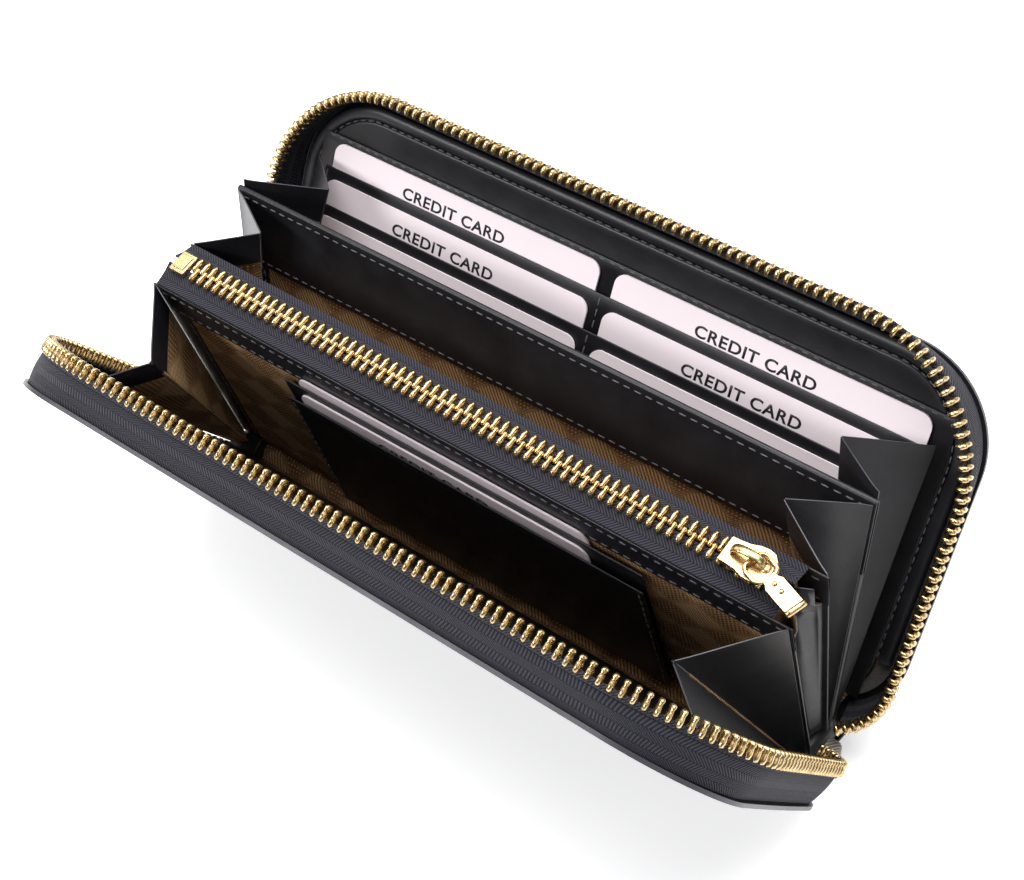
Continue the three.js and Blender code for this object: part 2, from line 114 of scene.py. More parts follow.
# shader helper
class Wire:
    # one socket of a node tree, so that shader maths reads as plain sums
    def __init__(self, tree, socket=None):
        self.tree, self.socket = tree, socket

    def node(self, kind, settings=None, inputs=None, output=0):
        made = self.tree.nodes.new(kind)
        for key, value in (settings or {}).items():
            if key == "stops":
                stops = made.color_ramp.elements
                while len(stops) < len(value):
                    stops.new(0.5)
                for stop, (place, colour) in zip(stops, value):
                    stop.position, stop.color = place, colour
            else:
                setattr(made, key, value)
        for key, value in (inputs or {}).items():
            if isinstance(value, Wire):
                self.tree.links.new(value.socket, made.inputs[key])
            else:
                made.inputs[key].default_value = value
        return Wire(self.tree, made.outputs[output])

    def calc(self, operation, first, second=0.0):
        return self.node("ShaderNodeMath", {"operation": operation}, {0: first, 1: second})

    def __add__(self, other): return self.calc("ADD", self, other)
    def __radd__(self, other): return self.calc("ADD", other, self)
    def __sub__(self, other): return self.calc("SUBTRACT", self, other)
    def __rsub__(self, other): return self.calc("SUBTRACT", other, self)
    def __mul__(self, other): return self.calc("MULTIPLY", self, other)
    def __rmul__(self, other): return self.calc("MULTIPLY", other, self)
    def __truediv__(self, other): return self.calc("DIVIDE", self, other)
    def __rtruediv__(self, other): return self.calc("DIVIDE", other, self)
    def __gt__(self, other): return self.calc("GREATER_THAN", self, other)
    def __lt__(self, other): return self.calc("LESS_THAN", self, other)

    def wave(self): return self.calc("SINE", self)
    def part(self): return self.calc("FRACT", self)
    def size(self): return self.calc("ABSOLUTE", self)
    def most(self, other): return self.calc("MAXIMUM", self, other)

    def between(self, colourA, colourB):
        # this value fades from one colour to the other
        sockets = {0: self, 6: colourA, 7: colourB}
        return self.node("ShaderNodeMix", {"data_type": "RGBA"}, sockets, 2)

    def into(self, socket):
        self.tree.links.new(self.socket, socket)


def newFinish(name, fixed):
    # fixed values go straight on the shader's own sockets
    finish = bpy.data.materials.new(name)
    finish.use_nodes = True
    shader = finish.node_tree.nodes["Principled BSDF"]
    for key, value in fixed.items():
        shader.inputs[key].default_value = value
    return finish, shader, Wire(finish.node_tree)


def clothCoords(start, millimetres=True):
    # millimetres along and across the piece, or the piece's own place where it has no such map
    if millimetres:
        place = start.node("ShaderNodeUVMap", {"uv_map": "cloth"})
    else:
        raw = start.node("ShaderNodeTexCoord", None, None, 3)
        place = start.node("ShaderNodeVectorMath", {"operation": "SCALE"}, {0: raw, 3: 1000.0})
    parts = start.node("ShaderNodeSeparateXYZ", None, {0: place})
    across = Wire(start.tree, parts.socket.node.outputs[1])
    return place, parts, across


def bumpInto(start, shader, height, depth, strength=1.0):
    sockets = {"Strength": strength, "Distance": depth / 1000, "Height": height}
    start.node("ShaderNodeBump", None, sockets).into(shader.inputs["Normal"])


def grey(*rgb):
    return (*rgb, 1.0)


# leather
def leatherFinish(name, look, millimetres=True):
    fixed = {"Specular IOR Level": look["shine"], "Coat Roughness": 0.22}
    leather, shader, start = newFinish(name, fixed)
    place, _, _ = clothCoords(start, millimetres)
    pores = start.node("ShaderNodeTexVoronoi", {"feature": "SMOOTH_F1"},
                       {"Vector": place, "Scale": 1 / look["grain"], "Smoothness": 0.6})
    creases = start.node("ShaderNodeTexNoise", None, {"Vector": place, "Scale": 0.55, "Detail": 5.0})
    swell = start.node("ShaderNodeTexNoise", None, {"Vector": place, "Scale": 0.045, "Detail": 2.0})
    handled = start.node("ShaderNodeTexNoise", None, {"Vector": place, "Scale": 0.09, "Detail": 4.0})
    worn = start.calc("MINIMUM", (handled * 2.4 - 0.7).most(0.0), 1.0)
    worn.between(grey(*look["colour"]), grey(*look["worn"])).into(shader.inputs["Base Color"])
    (look["roughness"] + handled * 0.14 + pores * 0.05).into(shader.inputs["Roughness"])
    (handled * look["polish"]).into(shader.inputs["Coat Weight"])
    bumpInto(start, shader, pores * 0.35 + creases * 0.5 + swell * look["swell"], look["depth"])
    return leather


smoothHide = leatherFinish("smoothHide", {
    "colour": (0.006, 0.006, 0.0075), "worn": (0.013, 0.013, 0.016), "grain": 0.5, "roughness": 0.31,
    "shine": 0.34, "polish": 0.16, "swell": 9.0, "depth": 0.035,
})
paintedEdge = leatherFinish("paintedEdge", {
    "colour": (0.022, 0.021, 0.027), "worn": (0.06, 0.058, 0.072), "grain": 0.9, "roughness": 0.32,
    "shine": 0.42, "polish": 0.2, "swell": 3.0, "depth": 0.03,
})
paddedRim = leatherFinish("paddedRim", {
    "colour": (0.009, 0.009, 0.0115), "worn": (0.022, 0.022, 0.028), "grain": 0.6, "roughness": 0.36,
    "shine": 0.38, "polish": 0.2, "swell": 4.0, "depth": 0.05,
})


# cloths
def jacquardFinish():
    look = {"dark": (0.07, 0.034, 0.013), "mid": (0.2, 0.105, 0.042), "light": (0.8, 0.54, 0.29),
            "check": 15.0, "rib": 0.98}
    cloth, shader, start = newFinish("brownJacquard", {"Specular IOR Level": 0.18})
    place, u, v = clothCoords(start)
    turn = 2 * math.pi / look["rib"]
    ribs = ((u * 0.92 + v * 0.38) * turn).wave() * 0.5 + 0.5
    dots = (u * turn * 0.9).wave().most(0.0) * (v * turn * 0.9).wave().most(0.0)
    fine = ((u - v) * turn * 1.3).wave() * 0.5 + 0.5
    big = math.pi / look["check"]
    first = ((u + v * 1.25) * big).wave()
    second = ((u - v * 1.25) * big).wave()
    check = (first * second) > 0.0
    border = (first.size() < 0.22).most(second.size() < 0.22)
    thread = check * (ribs * 0.7 + dots * 0.3) + (1 - check) * (dots + fine * 0.1)
    thread = thread * (1 - border * 0.75) + border * fine * 0.28
    uneven = start.node("ShaderNodeTexNoise", None, {"Vector": place, "Scale": 0.16, "Detail": 3.0})
    base = (uneven * 1.3 - 0.15).between(grey(*look["dark"]), grey(*look["mid"]))
    (thread * 0.86).between(base, grey(*look["light"])).into(shader.inputs["Base Color"])
    (0.74 - thread * 0.22).into(shader.inputs["Roughness"])
    bumpInto(start, shader, thread, 0.12)
    return cloth


def herringboneFinish():
    look = {"dark": (0.005, 0.005, 0.0075), "light": (0.038, 0.037, 0.052), "column": 2.2, "rib": 0.85}
    cloth, shader, start = newFinish("herringboneTape", {"Specular IOR Level": 0.18, "Sheen Weight": 0.08})
    place, u, v = clothCoords(start)
    zigzag = ((v / (2 * look["column"])).part() - 0.5).size() * (2 * look["column"])
    ribs = ((u + zigzag) * (2 * math.pi / look["rib"])).wave() * 0.5 + 0.5
    seam = 1 - (((v / look["column"]).part() - 0.5).size() > 0.44) * 0.6
    fuzz = start.node("ShaderNodeTexNoise", None, {"Vector": place, "Scale": 1.7, "Detail": 3.0})
    thread = ribs * seam * (0.55 + fuzz * 0.9)
    thread.between(grey(*look["dark"]), grey(*look["light"])).into(shader.inputs["Base Color"])
    (0.86 - thread * 0.16).into(shader.inputs["Roughness"])
    bumpInto(start, shader, thread, 0.16)
    return cloth


def threadFinish(name, dark, light):
    thread, shader, start = newFinish(name, {"Specular IOR Level": 0.4, "Sheen Weight": 0.2})
    _, u, v = clothCoords(start)
    twist = (u * 6.0 + v * 5.0).wave() * 0.5 + 0.5
    twist.between(grey(*dark), grey(*light)).into(shader.inputs["Base Color"])
    (0.6 - twist * 0.15).into(shader.inputs["Roughness"])
    bumpInto(start, shader, twist, 0.04)
    return thread


# metal, card and board
def goldFinish(name, millimetres=True):
    look = {"deep": (0.40, 0.26, 0.10), "bright": (0.76, 0.58, 0.31)}
    gold, shader, start = newFinish(name, {"Metallic": 1.0, "Specular IOR Level": 0.5})
    place, _, _ = clothCoords(start, millimetres)
    cloud = start.node("ShaderNodeTexNoise", None, {"Vector": place, "Scale": 0.35, "Detail": 4.0})
    scuffs = start.node("ShaderNodeTexNoise", None, {"Vector": place, "Scale": 3.2, "Detail": 6.0})
    (cloud * 1.5 - 0.2).between(grey(*look["deep"]), grey(*look["bright"])).into(shader.inputs["Base Color"])
    (0.17 + scuffs * 0.22).into(shader.inputs["Roughness"])
    bumpInto(start, shader, scuffs + cloud * 0.6, 0.02)
    return gold


def cardFinish():
    look = {"face": (0.86, 0.77, 0.80), "shade": (0.78, 0.69, 0.73)}
    card, shader, start = newFinish("blankCard", {"Specular IOR Level": 0.5, "Coat Roughness": 0.3})
    place, _, _ = clothCoords(start, False)
    cloud = start.node("ShaderNodeTexNoise", None, {"Vector": place, "Scale": 0.03, "Detail": 2.0})
    fibre = start.node("ShaderNodeTexNoise", None, {"Vector": place, "Scale": 2.6, "Detail": 4.0})
    blotch = cloud * 0.8 + fibre * 0.2
    blotch.between(grey(*look["face"]), grey(*look["shade"])).into(shader.inputs["Base Color"])
    (0.4 + fibre * 0.12).into(shader.inputs["Roughness"])
    (cloud * 0.25).into(shader.inputs["Coat Weight"])
    bumpInto(start, shader, fibre, 0.008)
    return card


def mottledFinish(name, look):
    # one fine mottle drives colour, roughness and relief
    finish, shader, start = newFinish(name, look["fixed"])
    place, _, _ = clothCoords(start, False)
    sockets = {"Vector": place, "Scale": look["scale"], "Detail": look["detail"]}
    speck = start.node("ShaderNodeTexNoise", None, sockets)
    speck.between(grey(*look["dark"]), grey(*look["light"])).into(shader.inputs["Base Color"])
    (look["rough"] + speck * look["spread"]).into(shader.inputs["Roughness"])
    bumpInto(start, shader, speck, look["relief"])
    return finish


jacquard = jacquardFinish()
herringbone = herringboneFinish()
stitchThread = threadFinish("stitchThread", (0.025, 0.025, 0.028), (0.17, 0.17, 0.185))
greyWebbing = threadFinish("greyWebbing", (0.10, 0.09, 0.08), (0.36, 0.33, 0.29))
gold = goldFinish("paleGold")
card = cardFinish()
ink = mottledFinish("printedInk", {
    "fixed": {"Specular IOR Level": 0.4}, "scale": 3.0, "detail": 3.0, "dark": (0.004, 0.004, 0.006),
    "light": (0.03, 0.03, 0.036), "rough": 0.42, "spread": 0.15, "relief": 0.006,
})
greyBoard = mottledFinish("greyBoard", {
    "fixed": {"Specular IOR Level": 0.2}, "scale": 1.4, "detail": 7.0, "dark": (0.09, 0.085, 0.08),
    "light": (0.22, 0.21, 0.2), "rough": 0.82, "spread": 0.12, "relief": 0.05,
})
print("finishes made")


# mesh helpers
def newPiece(name, verts, faces, finishes, uvs=None, places=None):
    mesh = bpy.data.meshes.new(name)
    mesh.from_pydata([tuple(v) for v in verts], [], faces)
    for finish in finishes if isinstance(finishes, (list, tuple)) else [finishes]:
        mesh.materials.append(finish)
    layer = mesh.uv_layers.new(name="cloth")
    if uvs:
        flat = [c for face in uvs for corner in face for c in corner]
        layer.data.foreach_set("uv", flat)
    else:
        flat = []
        for loop in mesh.loops:
            at = mesh.vertices[loop.vertex_index].co
            flat += [at.x * 1000 + at.y * 300, at.z * 1000 + at.y * 700]
        layer.data.foreach_set("uv", flat)
    if places:
        mesh.polygons.foreach_set("material_index", places)
    mesh.shade_smooth()
    mesh.validate()
    piece = bpy.data.objects.new(name, mesh)
    bpy.context.scene.collection.objects.link(piece)
    return piece


def spacing(points):
    walked = [0.0]
    for a, b in zip(points, points[1:]):
        walked.append(walked[-1] + (b - a).length * 1000)
    return walked


def gridPiece(name, rows, finishes, ring=False, capped=False, places=None, flip=False):
    # rows of points make a sheet, or a tube where each row is a ring
    wide = len(rows[0])
    middle = rows[len(rows) // 2]
    across = spacing(middle + ([middle[0]] if ring else []))
    along = spacing([row[wide // 2] for row in rows])
    verts = [p for row in rows for p in row]
    faces, uvs, marks = [], [], []
    for i in range(len(rows) - 1):
        for j in range(wide if ring else wide - 1):
            k = (j + 1) % wide
            corners = [(i, j, j), (i, k, j + 1), (i + 1, k, j + 1), (i + 1, j, j)]
            if flip:
                corners.reverse()
            faces.append([r * wide + c for r, c, _ in corners])
            uvs.append([(along[r], across[m]) for r, _, m in corners])
            marks.append(places(i, j) if places else 0)
    if capped:
        for r in (0, len(rows) - 1):
            ends = list(range(wide))
            if (r == 0) != flip:
                ends.reverse()
            faces.append([r * wide + c for c in ends])
            uvs.append([(along[r] + 0.1 * c, across[c]) for c in ends])
            marks.append(places(min(r, len(rows) - 2), 0) if places else 0)
    return newPiece(name, verts, faces, finishes, uvs, marks)


def joined(name, parts):
    # several meshes of one piece made into one object
    for other in bpy.context.selected_objects:
        other.select_set(False)
    for part in parts:
        part.select_set(True)
    bpy.context.view_layer.objects.active = parts[0]
    bpy.ops.object.join()
    whole = bpy.context.view_layer.objects.active
    whole.name = name
    whole.data.name = name
    whole.select_set(False)
    return whole


def thicken(piece, millimetres, side=-1, backFinish=0, rimFinish=0):
    wall = piece.modifiers.new("thickness", "SOLIDIFY")
    wall.thickness, wall.offset = millimetres / 1000, side
    wall.use_even_offset, wall.use_quality_normals = True, True
    wall.material_offset, wall.material_offset_rim = backFinish, rimFinish
    return piece


def roundEdges(piece, millimetres, segments=3, angle=38):
    soft = piece.modifiers.new("softEdges", "BEVEL")
    soft.width, soft.segments = millimetres / 1000, segments
    soft.limit_method, soft.angle_limit = "ANGLE", math.radians(angle)
    soft.harden_normals = True
    return piece


def seated(piece, body, slotName, *nodes):
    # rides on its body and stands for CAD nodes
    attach(piece, body)
    return labelled(piece, slotName, *nodes)


def labelled(piece, slotName, *nodes):
    if nodes:
        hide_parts(*nodes)
    return piece


def stitchRow(name, path, body, thread=None, pitch=3.0, length=2.0, thick=0.2, slotName="edge_leather"):
    # short slack threads, one after the other along a seam
    walked = spacing(path)
    verts, faces, uvs = [], [], []

    def pointAt(distance):
        i = 0
        while i < len(walked) - 2 and walked[i + 1] < distance:
            i += 1
        share = (distance - walked[i]) / max(walked[i + 1] - walked[i], 1e-6)
        return path[i].lerp(path[i + 1], share)

    count = int((walked[-1] - length) / pitch)
    margin = (walked[-1] - count * pitch - length) / 2
    for n in range(count + 1):
        start = pointAt(margin + n * pitch)
        end = pointAt(margin + n * pitch + length)
        line = (end - start).normalized()
        aside = line.orthogonal().normalized()
        other = line.cross(aside)
        base = len(verts)
        for share, radius in ((0, 0.35), (0.15, 0.9), (0.5, 1.0), (0.85, 0.9), (1, 0.35)):
            for c, s in circle(6):
                verts.append(start.lerp(end, share) + (aside * c + other * s) * (thick * radius / 1000))
        for r in range(4):
            for k in range(6):
                m, ring = (k + 1) % 6, base + r * 6
                faces.append([ring + k, ring + m, ring + 6 + m, ring + 6 + k])
                uvs.append([(r, k), (r, k + 1), (r + 1, k + 1), (r + 1, k)])
        for r in (0, 4):
            faces.append([base + r * 6 + k for k in range(6)])
            uvs.append([(r, k) for k in range(6)])
    row = newPiece(name, verts, faces, thread or stitchThread, uvs)
    return seated(row, body, slotName)


def alongX(name, leaf, contour, xs, finishes, places=None):
    # a closed section in the leaf's own depth and height, carried along the spine
    rows = [[onLeaf(leaf, x, y, z) for y, z in contour] for x in xs]
    return gridPiece(name, rows, finishes, ring=True, capped=True, places=places)


# the line that the zip follows round a cover: x, height, and the outward direction
def zipLine(half, bottom, top, topRadius, bottomRadius, startAngle, endAngle):
    line = []

    def arc(cx, cz, radius, fromAngle, toAngle, count):
        for angle in steps(fromAngle, toAngle, count):
            c, s = math.cos(angle), math.sin(angle)
            line.append((cx + radius * c, cz + radius * s, c, s))

    def run(count):
        # leaves room for the straight stretch that the next arc begins after
        line.append(count)

    lowX, lowZ, highX, highZ = half - bottomRadius, bottom + bottomRadius, half - topRadius, top - topRadius
    arc(lowX, lowZ, bottomRadius, startAngle, 0, 14)
    run(26)
    arc(highX, highZ, topRadius, 0, math.pi / 2, 26)
    run(90)
    arc(-highX, highZ, topRadius, math.pi / 2, math.pi, 26)
    run(26)
    arc(-lowX, lowZ, bottomRadius, math.pi, endAngle, 8)
    full = []
    for i, entry in enumerate(line):
        if isinstance(entry, int):
            a, b = line[i - 1], line[i + 1]
            for t in steps(0, 1, entry)[1:-1]:
                full.append((mixed(a[0], b[0], t), mixed(a[1], b[1], t), a[2], a[3]))
        else:
            full.append(entry)
    return full


def respaced(line, pitch):
    # the same line with points every pitch millimetres
    walked = [0.0]
    for a, b in zip(line, line[1:]):
        walked.append(walked[-1] + math.hypot(b[0] - a[0], b[1] - a[1]))
    count = int(walked[-1] / pitch)
    out, i = [], 0
    for n in range(count + 1):
        distance = (walked[-1] - count * pitch) / 2 + n * pitch
        while i < len(walked) - 2 and walked[i + 1] < distance:
            i += 1
        share = (distance - walked[i]) / max(walked[i + 1] - walked[i], 1e-9)
        out.append(tuple(mixed(a, b, share) for a, b in zip(line[i], line[i + 1])))
    return out


cover = {"half": 101, "bottom": 3, "top": 96, "topRadius": 24, "bottomRadius": 18, "outer": 13.5}
chain = {"half": 102.5, "bottom": 0.6, "top": 101, "topRadius": 36, "endX": 93, "leftAngle": math.pi + 0.5}
lowRight = -math.acos((chain["endX"] - (chain["half"] - cover["bottomRadius"])) / cover["bottomRadius"])
chainPath = zipLine(chain["half"], chain["bottom"], chain["top"], chain["topRadius"],
                    cover["bottomRadius"], lowRight, chain["leftAngle"])


def coverPath(inset):
    return zipLine(cover["half"] - inset, cover["bottom"] + inset, cover["top"] - inset,
                   cover["topRadius"] - inset, cover["bottomRadius"] - inset, lowRight, chain["leftAngle"])


# cover leather with the soft leather down to the spine
def coverHalfAt(z):
    # half the width of the cover at this height
    half, low = cover["half"], cover["bottom"] + cover["bottomRadius"]
    high = cover["top"] - cover["topRadius"]
    if z < low:
        r = cover["bottomRadius"]
        return half - r + math.sqrt(max(r * r - (low - z) ** 2, 0))
    if z > high:
        r = cover["topRadius"]
        return half - r + math.sqrt(max(r * r - (z - high) ** 2, 0))
    return half


def makeCoverSkin(word, leaf, side):
    skin = {"spineEdge": 7.3, "thick": 1.0, "crown": 0.5, "columns": 64}
    foot = onLeaf(leaf, 0, side * cover["outer"], cover["bottom"])
    upward = (onLeaf(leaf, 0, side * cover["outer"], 20) - foot).normalized()
    start = Vector((0, side * skin["spineEdge"] / 1000, 0))
    bend = foot - upward * (foot.z / upward.z)
    rows = []

    def addRow(centre, half):
        row = []
        for k in range(skin["columns"] + 1):
            t = math.sin((k / skin["columns"] - 0.5) * math.pi)
            row.append(centre + Vector((half * t / 1000, 0, 0)))
        rows.append(row)

    for t in steps(0, 1, 12)[:-1]:
        addRow(bent(start, bend, foot, t), mixed(86.5, 83.4, t))
    low, high = cover["bottom"], cover["top"]
    heights = [low + cover["bottomRadius"] * (1 - math.cos(a)) for a in steps(0, math.pi / 2, 12)]
    heights += steps(21, 72, 12)[1:-1]
    heights += [high - cover["topRadius"] * (1 - math.sin(a)) for a in steps(0, math.pi / 2, 18)]

    def faceAt(z):
        return side * (cover["outer"] - 0.5 + skin["crown"] * math.sin(math.pi * (z - low) / (high - low)))

    for z in heights:
        addRow(onLeaf(leaf, 0, faceAt(z), z), max(coverHalfAt(z), 77))
    name = f"{word}CoverSkin"
    piece = gridPiece(name, rows, [smoothHide, smoothHide, paintedEdge], flip=side > 0)
    thicken(piece, skin["thick"], -1, 1, 2)
    roundEdges(piece, 0.4)
    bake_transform(piece)
    labelled(piece, "black_leather", f"{word}_cover_leather", f"spine_side_{word}")
    seam = [onLeaf(leaf, x, faceAt(z) + side * 0.03, z) for x, z, _, _ in coverPath(2.6)]
    stitchRow(f"{word}CoverStitches", seam, f"{word}_cover")
    return piece


# zip tape, teeth and the padded edge inside the covers
def makeMainTape(word, leaf, side):
    tape = {"foot": 12.0, "edge": 3.1, "thick": 0.6, "bow": 0.45, "across": 8}
    low = coverPath(1.2)
    rows = []
    for (ax, az, ox, oz), (bx, bz, _, _) in zip(low, chainPath):
        row = []
        for t in steps(0, 1, tape["across"]):
            bow = tape["bow"] * math.sin(math.pi * t) - 0.8 * t
            row.append(onLeaf(leaf, mixed(ax, bx, t) + ox * bow, side * mixed(tape["foot"], tape["edge"], t),
                              mixed(az, bz, t) + oz * bow))
        rows.append(row)
    piece = gridPiece(f"{word}ZipTape", rows, herringbone, flip=side > 0)
    thicken(piece, tape["thick"], 0)
    roundEdges(piece, 0.15, 2)
    seated(piece, f"{word}_cover", "zip_tape", f"{word}_zip_tape")
    cord = []
    for x, z, ox, oz in chainPath:
        ring = [(0.85 * c - 0.8, 3.75 + 0.8 * s) for c, s in circle(8)]
        cord.append([onLeaf(leaf, x + ox * off, side * depth, z + oz * off) for off, depth in ring])
    cordPiece = gridPiece(f"{word}TapeCord", cord, herringbone, ring=True, capped=True, flip=side < 0)
    seated(cordPiece, f"{word}_cover", "zip_tape")


# a metal tooth: clamp, neck and head, as depth from the meeting line, height across the tape, half width
toothShape = [(4.0, 0.8, 0.5), (3.6, 1.36, 0.66), (2.6, 1.46, 0.7), (1.9, 1.35, 0.62), (1.3, 1.2, 0.5),
              (0.85, 1.38, 0.66), (0.4, 1.22, 0.62), (0.1, 0.7, 0.4)]


def addTooth(verts, faces, place, reach=0.0):
    # place turns (depth, off, along) into a point
    base, corners = len(verts), 8
    for depth, tall, wide in toothShape:
        for k in range(corners):
            angle = (k + 0.5) * 2 * math.pi / corners
            squareness = 1.0 / max(abs(math.cos(angle)), abs(math.sin(angle))) ** 0.75
            off, along = tall * math.sin(angle) * squareness, wide * math.cos(angle) * squareness
            verts.append(place(depth - reach, off, along))
    for r in range(len(toothShape) - 1):
        for k in range(corners):
            m = (k + 1) % corners
            a, b = base + r * corners, base + (r + 1) * corners
            faces.append([a + k, a + m, b + m, b + k])
    faces.append([base + k for k in reversed(range(corners))])
    faces.append([base + (len(toothShape) - 1) * corners + k for k in range(corners)])


def makeMainChain(word, leaf, side):
    teeth = {"pitch": 2.5, "middle": -0.8}
    verts, faces = [], []
    for x, z, ox, oz in respaced(chainPath, teeth["pitch"]):
        def place(depth, off, along, x=x, z=z, ox=ox, oz=oz):
            lift = off + teeth["middle"]
            return onLeaf(leaf, x + ox * lift - oz * along, side * depth, z + oz * lift + ox * along)
        addTooth(verts, faces, place)
    piece = newPiece(f"{word}Teeth", verts, faces, gold)
    seated(piece, f"{word}_cover", "gold_metal", f"{word}_zip_chain")


def rollPath(inset):
    line = zipLine(96 - inset, 8, 93 - inset, 21 - inset, 13, 0, math.pi)
    return [p for p in line if p[1] >= 20.9]


def makeEdgeRoll(word, leaf, side):
    roll = {"middle": 10.15, "deep": 0.95, "wide": 1.75}
    rows = []
    for x, z, ox, oz in rollPath(0):
        rows.append([onLeaf(leaf, x + ox * roll["wide"] * c, side * (roll["middle"] - roll["deep"] * s),
                            z + oz * roll["wide"] * c) for c, s in circle(12)])
    piece = gridPiece(f"{word}PaddedRim", rows, paddedRim, ring=True, capped=True, flip=side > 0)
    seated(piece, f"{word}_cover", "edge_leather", f"{word}_edge_roll")
    seam = [onLeaf(leaf, x, side * 9.72, z) for x, z, _, _ in rollPath(2.0)]
    stitchRow(f"{word}RimStitches", seam, f"{word}_cover", pitch=2.6, length=1.7)


def makeInnerPanel(word, leaf, side):
    # smooth leather that hollows between the padded rim and the card slots
    panel = {"half": 94, "bottom": 9, "top": 91, "topRadius": 19, "bottomRadius": 10}
    rings = []
    for inset, depth in ((0, 10.7), (0, 9.95), (0.9, 9.84), (2, 9.92), (4, 10.12), (6.5, 10.2), (9, 10.2)):
        half, low, high = panel["half"] - inset, panel["bottom"] + inset, panel["top"] - inset
        rt, rb = max(panel["topRadius"] - inset, 1), max(panel["bottomRadius"] - inset, 1)
        ring = []
        for cx, cz, r, first in ((half - rt, high - rt, rt, 0), (-half + rt, high - rt, rt, 90),
                                 (-half + rb, low + rb, rb, 180), (half - rb, low + rb, rb, 270)):
            for c, s in arcOf(first, first + 90, 10):
                ring.append(onLeaf(leaf, cx + r * c, side * depth, cz + r * s))
        rings.append(ring)
    wide = len(rings[0])
    verts = [p for ring in rings for p in ring]
    faces = []
    for i in range(len(rings) - 1):
        for j in range(wide):
            k = (j + 1) % wide
            face = [i * wide + j, i * wide + k, (i + 1) * wide + k, (i + 1) * wide + j]
            faces.append(face if side > 0 else face[::-1])
    middle = [(len(rings) - 1) * wide + j for j in range(wide)]
    faces.append(middle if side > 0 else middle[::-1])
    back = list(range(wide))
    faces.append(back[::-1] if side > 0 else back)
    piece = newPiece(f"{word}InnerPanel", verts, faces, smoothHide)
    seated(piece, f"{word}_cover", "black_leather", f"{word}_lining")


def makeFloorCloth(word, leaf, side):
    # lining that closes the bottom between the spine and the cover's inner panel
    cloth = {"spineHalf": 88.5, "footHalf": 87.5, "topHalf": 93.5, "spineY": 6.7, "spineZ": -6.9}
    start = onLeaf("spine", 0, side * cloth["spineY"], cloth["spineZ"])
    end = onLeaf(leaf, 0, side * 10.4, 16)
    foot = onLeaf(leaf, 0, side * 10.6, 2.0)
    rows = []
    for t in steps(0, 1, 12):
        point = bent(start, foot, end, t)
        half = bent(cloth["spineHalf"], cloth["footHalf"], cloth["topHalf"], t)
        rows.append([point + Vector((x / 1000, 0, 0)) for x in steps(-half, half, 24)])
    piece = gridPiece(f"{word}FloorLining", rows, jacquard, flip=side > 0)
    thicken(piece, 0.4, -1)
    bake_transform(piece)
    labelled(piece, "jacquard_lining")


def makeEndLeather(word, leaf, side):
    # soft leather closing each end between the spine and the cover's lower corner
    for endWord, sign in (("Right", 1), ("Left", -1)):
        rows = []
        for t in steps(0, 1, 12):
            spineEdge = Vector((sign * mixed(84.5, 92.5, t) / 1000, side * mixed(7.2, 2.2, t) / 1000,
                                mixed(0.7, 3.4, t) / 1000))
            coverEdge = onLeaf(leaf, sign * mixed(82.5, 92.2, t), side * 12.5, mixed(3.4, 7.0, t * t))
            belly = Vector((sign * 0.0015 * t, 0, 0))
            row = []
            for k in steps(0, 1, 10):
                row.append(spineEdge.lerp(coverEdge, k) + belly * math.sin(math.pi * k))
            rows.append(row)
        piece = gridPiece(f"{word}EndLeather{endWord}", rows, smoothHide, flip=(side * sign) > 0)
        thicken(piece, 0.7, 0)
        roundEdges(piece, 0.15, 2)
        end = onLeaf(leaf, 0, side * 12.6, 3.4)
        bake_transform(piece)
        labelled(piece, "black_leather")


for word, leaf, side in (("back", "backCover", 1), ("front", "frontCover", -1)):
    makeCoverSkin(word, leaf, side)
    makeEndLeather(word, leaf, side)
    makeMainTape(word, leaf, side)
    makeMainChain(word, leaf, side)
    makeEdgeRoll(word, leaf, side)
    makeInnerPanel(word, leaf, side)
    makeFloorCloth(word, leaf, side)
print("covers, tapes and teeth made")


# card slots
def foldedEdge(near, far, low, high, turned=5.0):
    # section of a thin leather sheet with a turned top edge; near is the face that is seen
    inward = 1 if far > near else -1
    thick = abs(far - near)
    middle, radius = (near + far) / 2, thick / 2
    section = [(far, low), (far, mixed(low, high, 0.5)), (far, high - radius)]
    for c, s in arcOf(0, 180, 6)[1:-1]:
        section.append((middle + inward * radius * c, high - radius + radius * s))
    under = near + inward * thick * 0.3
    section += [(near, high - radius), (near, high - turned), (under, high - turned - 0.35), (under, low)]
    return section


def makeSlot(name, leaf, near, far, low, high, left, right, node, seams=(), turned=5.0):
    section = foldedEdge(near, far, low, high, turned)
    if far < near:
        section = section[::-1]
    piece = alongX(name, leaf, section, steps(left, right, 12), [smoothHide])
    roundEdges(piece, 0.12, 2, 60)
    seated(piece, bodyOf[leaf], "black_leather", node)
    outward = -1 if far > near else 1
    for n, seamX in enumerate(seams):
        seam = [onLeaf(leaf, seamX, near + outward * 0.04, z) for z in steps(low + 1, high - 0.8, 10)]
        stitchRow(f"{name}Seam{n}", seam, bodyOf[leaf])
    return piece


